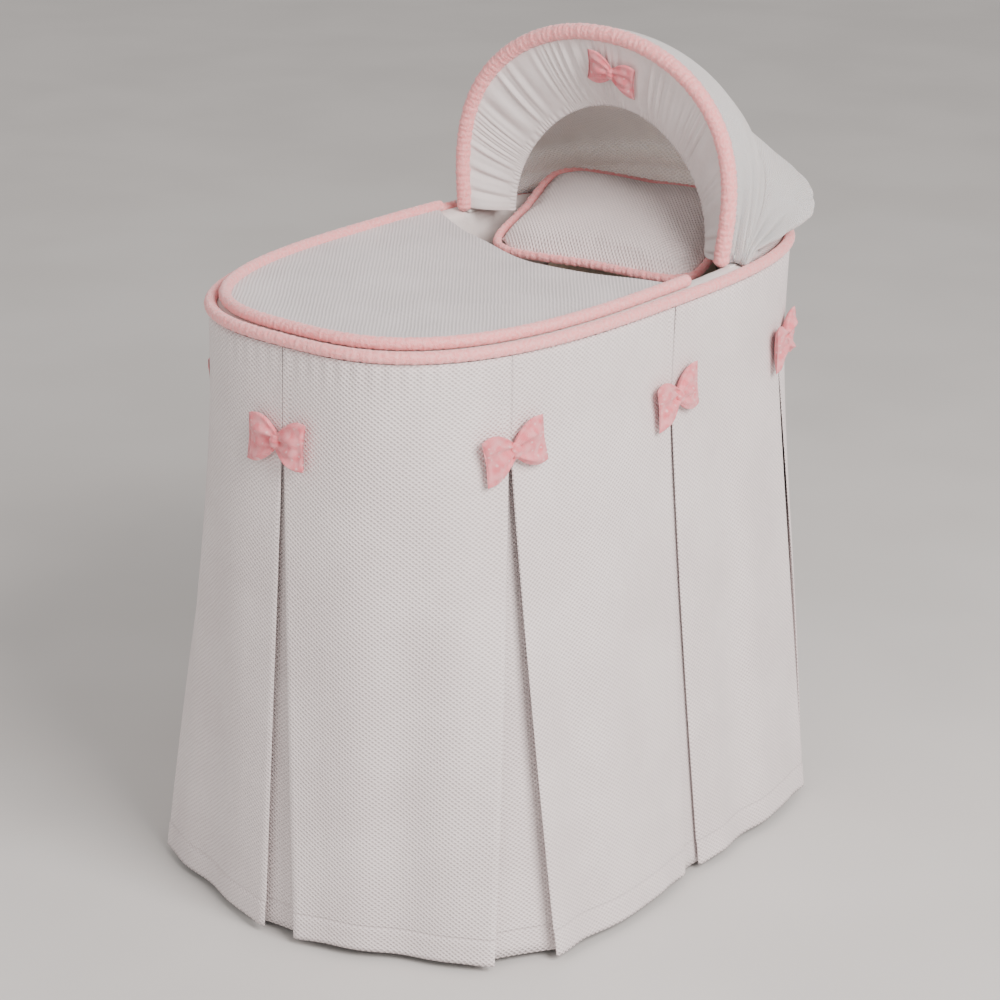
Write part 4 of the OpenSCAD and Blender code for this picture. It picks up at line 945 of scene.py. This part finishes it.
edge, length = foot_side(COVER_PIPE_IN, 1000)
path = np.concatenate([edge, np.full((1000, 1), COVER_PIPE_Z)], 1)
grid = tube(path, ruched(length, 18, 1000, PIPING_D / 2 + 0.2, 0.42, 5, False), (0, 0, 1), False)
edging = surface("coverlet_edging", grid, tube_flat(grid, PIPING_D / 2), around=True, weld=True)
place_piece(edging, "coverlet_body", pink_plush, "pink_plush", "coverlet_piping")

# ======================================================================================
# Hood: pivots
# White moulded brackets on the rim roll, each with the pin that both wire bows turn on.

moulded, tree, shader, place = new_material("white_nylon", 0.38)
flow = use(tree, mottle, Vector=place, Size=0.012, Stretch=(1, 1, 1))
tree.links.new(ramp(tree, flow["Patches"], 0, 1, 0.32, 0.48), shader.inputs["Roughness"])
milky = tint(tree, flow["Patches"], (0.76, 0.755, 0.74), (0.82, 0.815, 0.80))
paint(tree, shader, milky, flow["Grain"], 0.00005)
dress(["hood_pivots"], moulded)

# ======================================================================================
# Hood: canopy
# Waffle pique over two wire bows: a front panel between the bows, and a back panel that runs
# straight down from the rear bow, puffs out over the rim and is gathered in behind the piping.
PIVOT_X, PIVOT_Z = 158.0, 712.0
FRONT_H, FRONT_FOOT, FRONT_SQUARE, FRONT_SWELL, FRONT_LEAN = 232.0, 187.9, 2.25, 0.11, 2.0
REAR_H, REAR_FOOT, REAR_SQUARE, REAR_SWELL, REAR_LEAN = 201.0, 195.9, 1.8, 0.07, 47.0
WIRE_CLEAR, BASE_IN, PUFF = 3.6, 18.0, 0.150


def arch(t, foot, high, square, swell):
    """Half arch of a bow in its own plane, across and up: a superellipse whose haunches swell out."""
    return np.stack([-foot * spow(np.cos(t), 2 / square) * (1 + swell * np.sin(2 * np.minimum(t, np.pi - t))),
                     high * spow(np.sin(t), 2 / square)], -1)


def leaned(p, lean, out=0.0):
    """A point of a bow's plane in space: turned back about the pivots by lean degrees, and moved
    out in front of the plane."""
    c, s = np.cos(np.radians(lean)), np.sin(np.radians(lean))
    x, z = PIVOT_X + p[..., 1] * s - out * c, PIVOT_Z + p[..., 1] * c + out * s
    return np.stack([x, p[..., 0] + 0 * s, z], -1)


def grow(p, foot, high, d):
    """A rib moved outwards by d."""
    return p * np.array([1 + d / foot, 1 + d / high])


def front_rib(t, d):
    """The front bow's curve, d outside the wire."""
    return grow(arch(t, FRONT_FOOT, FRONT_H, FRONT_SQUARE, FRONT_SWELL), FRONT_FOOT, FRONT_H, d)


def rear_rib(t, d):
    """The rear bow's curve, d outside the wire."""
    return grow(arch(t, REAR_FOOT, REAR_H, REAR_SQUARE, REAR_SWELL), REAR_FOOT, REAR_H, d)


def base_rib(t):
    """The rim behind the pivots as a flat rib."""
    a, b = HALF_LEN - BASE_IN, HALF_WID - BASE_IN
    q = (t / (np.pi / 2) - 1) * np.arccos((PIVOT_X / a) ** (SQUARE / 2))
    return np.stack([b * spow(np.sin(q), 2 / SQUARE), a * spow(np.cos(q), 2 / SQUARE) - PIVOT_X], -1)


# Painted light: the hood's pique is coloured lighter than the same pique on the skirt, for the light inside
# the hood.
HOOD_LIT, HOOD_LIT_SHADE = (0.97, 0.84, 0.80), (0.70, 0.57, 0.54)
hood_cloth = waffle_cloth("waffle_hood_lit", HOOD_LIT, HOOD_LIT_SHADE, wide=0.0062, high=0.005, glow=0.62)
t = np.linspace(np.radians(0.4), np.radians(179.6), 240)[None]
side = np.minimum(t, np.pi - t)
u = np.linspace(0, 1, 40)[:, None]
rib = front_rib(t, WIRE_CLEAR + 1.6) * (1 - u[..., None]) + rear_rib(t, WIRE_CLEAR + 1.6) * u[..., None]
# The cloth stands a little full between the bows and at their haunches, with gathers from the pivots
haunch = 0.04 * np.exp(-((side - 0.7) / 0.35) ** 2)
sag = 1 + 0.008 * np.sin(np.pi * u) * np.sin(t) + haunch * u ** 1.5
gather = 0.022 * np.sin(2 * np.pi * 3.2 * u + 1.0) * np.exp(-side / 0.35) * np.sin(np.pi * u) ** 0.5
out = 8.0 * (1 - u) ** 7
grid = leaned(rib * (sag + gather)[..., None], FRONT_LEAN + (REAR_LEAN - 0.3 - FRONT_LEAN) * u + 0 * t, out)
# The lower edge comes down over the pivot to the rim
grid[..., 2] -= 9.5 * np.clip(1 - side / 0.09, 0, 1)
grid[..., 1] *= 1 + 0.03 * np.clip(1 - side / 0.3, 0, 1) ** 1.5 * (1 - (1 - u) ** 4)
arc = np.concatenate([[0], np.cumsum(np.linalg.norm(np.diff(grid[20], axis=0), axis=1))])
deep = np.concatenate([[0], np.cumsum(np.linalg.norm(np.diff(grid[:, 110], axis=0), axis=1))])
flat_map = np.stack(np.broadcast_arrays(arc[None], deep[:, None]), -1)
canopy = surface("canopy_front_cloth", grid, flat_map)
thicken(canopy, 1.4)
place_piece(canopy, None, hood_cloth, "white_waffle", "canopy_front")
normal = np.array([np.cos(np.radians(FRONT_LEAN)), 0, -np.sin(np.radians(FRONT_LEAN))])
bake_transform(canopy)

u = np.linspace(0, 1, 72)[:, None] ** 0.8
rib = rear_rib(t, WIRE_CLEAR + 1.6) * (1 - u[..., None] ** 1.6) + base_rib(t) * 1.012 * u[..., None] ** 1.6
rise = np.clip(side / 0.62, 0, 1)
full = (PUFF * np.sin(np.pi * u ** 4) + 0.082 * np.sin(np.pi * u ** 0.9)) * rise ** 2 * (3 - 2 * rise)
full = full + haunch * (1 - u) ** 1.5
count = 2 * np.pi * 13
gathers = np.sin(count * t / np.pi + 2.0 * np.sin(5 * t)) + 0.5 * np.sin(1.9 * count * t / np.pi + 1.0)
gathers = 0.008 * gathers * np.clip((u - 0.35) / 0.65, 0, 1) ** 1.5 * np.clip((1 - u) / 0.05, 0, 1)
creases = 0.02 * np.sin(2 * np.pi * 2.6 * u + 0.5) * np.exp(-side / 0.3) * np.sin(np.pi * u) ** 0.5
rib = rib * (1 + full + gathers + creases)[..., None]
grid = leaned(rib, REAR_LEAN + 0.3 + (86 - REAR_LEAN - 0.3) * u + 0 * t)
grid[..., 2] -= 9.5 * np.clip(1 - side / 0.09, 0, 1)
grid[..., 2] = np.maximum(grid[..., 2], ROLL_TOP + 1.6)
grid[..., 1] *= 1 + 0.03 * np.clip(1 - side / 0.3, 0, 1) ** 1.5 * (1 - u ** 3)
foot = base_rib(t[0]) * 1.012
grid[-1] = np.stack([PIVOT_X + foot[:, 1], foot[:, 0], np.full(240, ROLL_TOP + 1.2)], -1)
grid[-2] = 0.5 * grid[-2] + 0.5 * grid[-1]
deep = np.concatenate([[0], np.cumsum(np.linalg.norm(np.diff(grid[:, 110], axis=0), axis=1))])
arc = np.concatenate([[0], np.cumsum(np.linalg.norm(np.diff(grid[30], axis=0), axis=1))])
flat_map = np.stack(np.broadcast_arrays(arc[None], deep[:, None]), -1)
canopy = surface("canopy_back_cloth", grid, flat_map)
thicken(canopy, 1.4)
place_piece(canopy, None, hood_cloth, "white_waffle", "canopy_back")
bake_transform(canopy)

# ======================================================================================
# Hood: trim
# The same ruched plush as the piping, thicker, sewn along the front bow from pivot to pivot.
TRIM_D = 19.0
TRIM_OUT = 3.0 + 0.3 + TRIM_D / 2

t = np.linspace(np.radians(0.3), np.radians(179.7), 1201)
line = leaned(arch(t, FRONT_FOOT, FRONT_H, FRONT_SQUARE, FRONT_SWELL), FRONT_LEAN, TRIM_OUT)
foot = np.linspace(8, 0.4, 20)[:, None] * np.array([[0, 0, -1.0]])
line = np.concatenate([line[:1] + foot, line, line[-1:] + foot[::-1]])
steps = np.concatenate([[0], np.cumsum(np.linalg.norm(np.diff(line, axis=0), axis=1))])
path = np.stack([np.interp(np.linspace(0, steps[-1], 640), steps, line[:, k]) for k in range(3)], -1)
grid = tube(path, ruched(steps[-1], 22, 640, TRIM_D / 2 + 0.4, 0.55, 8, False), normal, False)
trim = surface("hood_trim_roll", grid, tube_flat(grid, TRIM_D / 2), around=True, weld=True)
place_piece(trim, "hood_front", pink_plush, "pink_plush", "hood_trim")

# ======================================================================================
# Hood: valance
# A strip of plain white cotton, gathered on to the trim and drawn in round the mouth of the
# hood by elastic in a narrow casing, so that it stands in fine radial folds.
VALANCE_W, VALANCE_IN = 80.0, 39.0
VALANCE_R = TRIM_D / 2 + 1
CASING = 0.88

t = np.linspace(np.radians(0.5), np.radians(179.5), 900)[None]
w = np.linspace(0, 1, 34)[:, None]
outer = grow(arch(t, FRONT_FOOT, FRONT_H, FRONT_SQUARE, FRONT_SWELL), FRONT_FOOT, FRONT_H, 3.5 - VALANCE_R)
inner = arch(t, FRONT_FOOT - VALANCE_R - 38, FRONT_H - VALANCE_R - VALANCE_W, 1.9, 0.0)
rib = outer + (inner - outer) * w[..., None]
s = t / np.pi
phase = 2 * np.pi * (35 * s + 0.7 * np.sin(2 * np.pi * 3.3 * s + 0.4) + 0.35 * np.sin(2 * np.pi * 8.1 * s))
folds = np.sin(phase + 1.0 * w) * (0.75 + 0.35 * np.sin(2 * np.pi * 5.3 * s + 1))
folds = folds + 0.4 * np.sin(1.83 * phase + 1.2 + 2 * w)
height = 2.5 * folds * (0.25 + 0.75 * np.sin(np.pi * np.clip(w / CASING, 0, 1)) ** 0.7) * (w < CASING)
height = height + 0.9 * np.sin(2.9 * phase) * (w >= CASING)
belly = 3.5 * np.sin(np.pi * w)
end = np.clip(1 - np.minimum(t, np.pi - t) / 0.16, 0, 1)
proud = TRIM_OUT - VALANCE_IN * w + height * 0.8 + belly - 1.0 + 7 * end ** 2 * np.sin(np.pi * w)
grid = leaned(rib, FRONT_LEAN + 0 * w + 0 * t, proud)
# Its ends hang down to the rim and puff out in front of the trim
grid[..., 2] -= 10 * end
arc = np.concatenate([[0], np.cumsum(np.linalg.norm(np.diff(grid[4], axis=0), axis=1))])
flat_map = np.stack(np.broadcast_arrays(arc[None], 90 * w), -1)
valance_cloth = plain_cloth("valance_cotton", (0.84, 0.775, 0.765), (0.73, 0.655, 0.645))
valance = surface("hood_valance_cloth", grid, flat_map, flip=True)
thicken(valance, 0.8)
place_piece(valance, "hood_front", valance_cloth, "white_lining", "hood_valance")

# ======================================================================================
# Hood: bow
# A smaller bow of the same pink cotton, sewn on the valance just under the trim.
HOOD_BOW_W, HOOD_BOW_DROP = 66.0, 32.0

slant = np.degrees(np.arctan(VALANCE_IN / VALANCE_W))
sit = TRIM_OUT - VALANCE_IN * HOOD_BOW_DROP / VALANCE_W + 4.5
at = leaned(np.array([-16.0, FRONT_H - VALANCE_R - HOOD_BOW_DROP]), FRONT_LEAN, sit)
lean = np.radians(FRONT_LEAN - slant)
up = np.array([np.sin(lean), 0, np.cos(lean)])
across = np.array([0, -1.0, 0])
tied_bow("hood_bow_tie", "hood_front", "hood_bow", at, across, up, HOOD_BOW_W, -14, 41, (2.0, -3.0))

# ======================================================================================
# Studio: floor, light and camera
# A plain pale floor, one large soft light from the near side, a weaker one from the foot end,
# and a camera above the near foot corner.

bpy.ops.mesh.primitive_plane_add(size=14, location=(0, 0, 0))
floor = bpy.context.object
floor.name = "studio_floor"
pale, tree, shader, place = new_material("pale_floor", 0.65)
dust = use(tree, mottle, Vector=place, Size=0.4, Stretch=(1, 1, 1))
sealed = tint(tree, dust["Patches"], (0.60, 0.585, 0.57), (0.64, 0.625, 0.61))
paint(tree, shader, sealed, dust["Grain"], 0.0002)
floor.data.materials.append(pale)

world = bpy.data.worlds.new("studio")
bpy.context.scene.world = world
world.use_nodes = True
world.node_tree.nodes["Background"].inputs[0].default_value = (1.0, 0.955, 0.93, 1)
world.node_tree.nodes["Background"].inputs[1].default_value = 0.66


def area_light(name, at, aim, size, power, colour):
    """A square lamp of that size in metres and power in watts, turned to a point."""
    data = bpy.data.lights.new(name, "AREA")
    data.size, data.energy, data.color = size, power, colour
    lamp = bpy.data.objects.new(name, data)
    bpy.context.scene.collection.objects.link(lamp)
    lamp.location = at
    lamp.rotation_euler = (Vector(aim) - Vector(at)).to_track_quat("-Z", "Y").to_euler()


area_light("key", (-0.9, -3.4, 2.9), (0, 0, 0.5), 2.2, 290, (1.0, 0.945, 0.915))
area_light("fill", (-3.6, -0.6, 1.9), (0, 0, 0.5), 2.4, 30, (1.0, 0.95, 0.92))

az, el, roll = -0.9255, 0.3562, 0.0261
back = np.array([np.sin(az) * np.cos(el), -np.cos(az) * np.cos(el), np.sin(el)])
right = np.array([np.cos(az), np.sin(az), 0])
up = np.cross(back, right)
right, up = np.cos(roll) * right + np.sin(roll) * up, np.cos(roll) * up - np.sin(roll) * right
lens = bpy.data.cameras.new("camera")
lens.lens, lens.sensor_width = 99.26, 36.0
camera = bpy.data.objects.new("camera", lens)
bpy.context.scene.collection.objects.link(camera)
stand_at = (-2.4577, -1.8378, 1.5502)
camera.matrix_world = Matrix([[right[k], up[k], back[k], stand_at[k]] for k in range(3)] + [[0, 0, 0, 1]])
bpy.context.scene.camera = camera

bpy.context.view_layer.update()
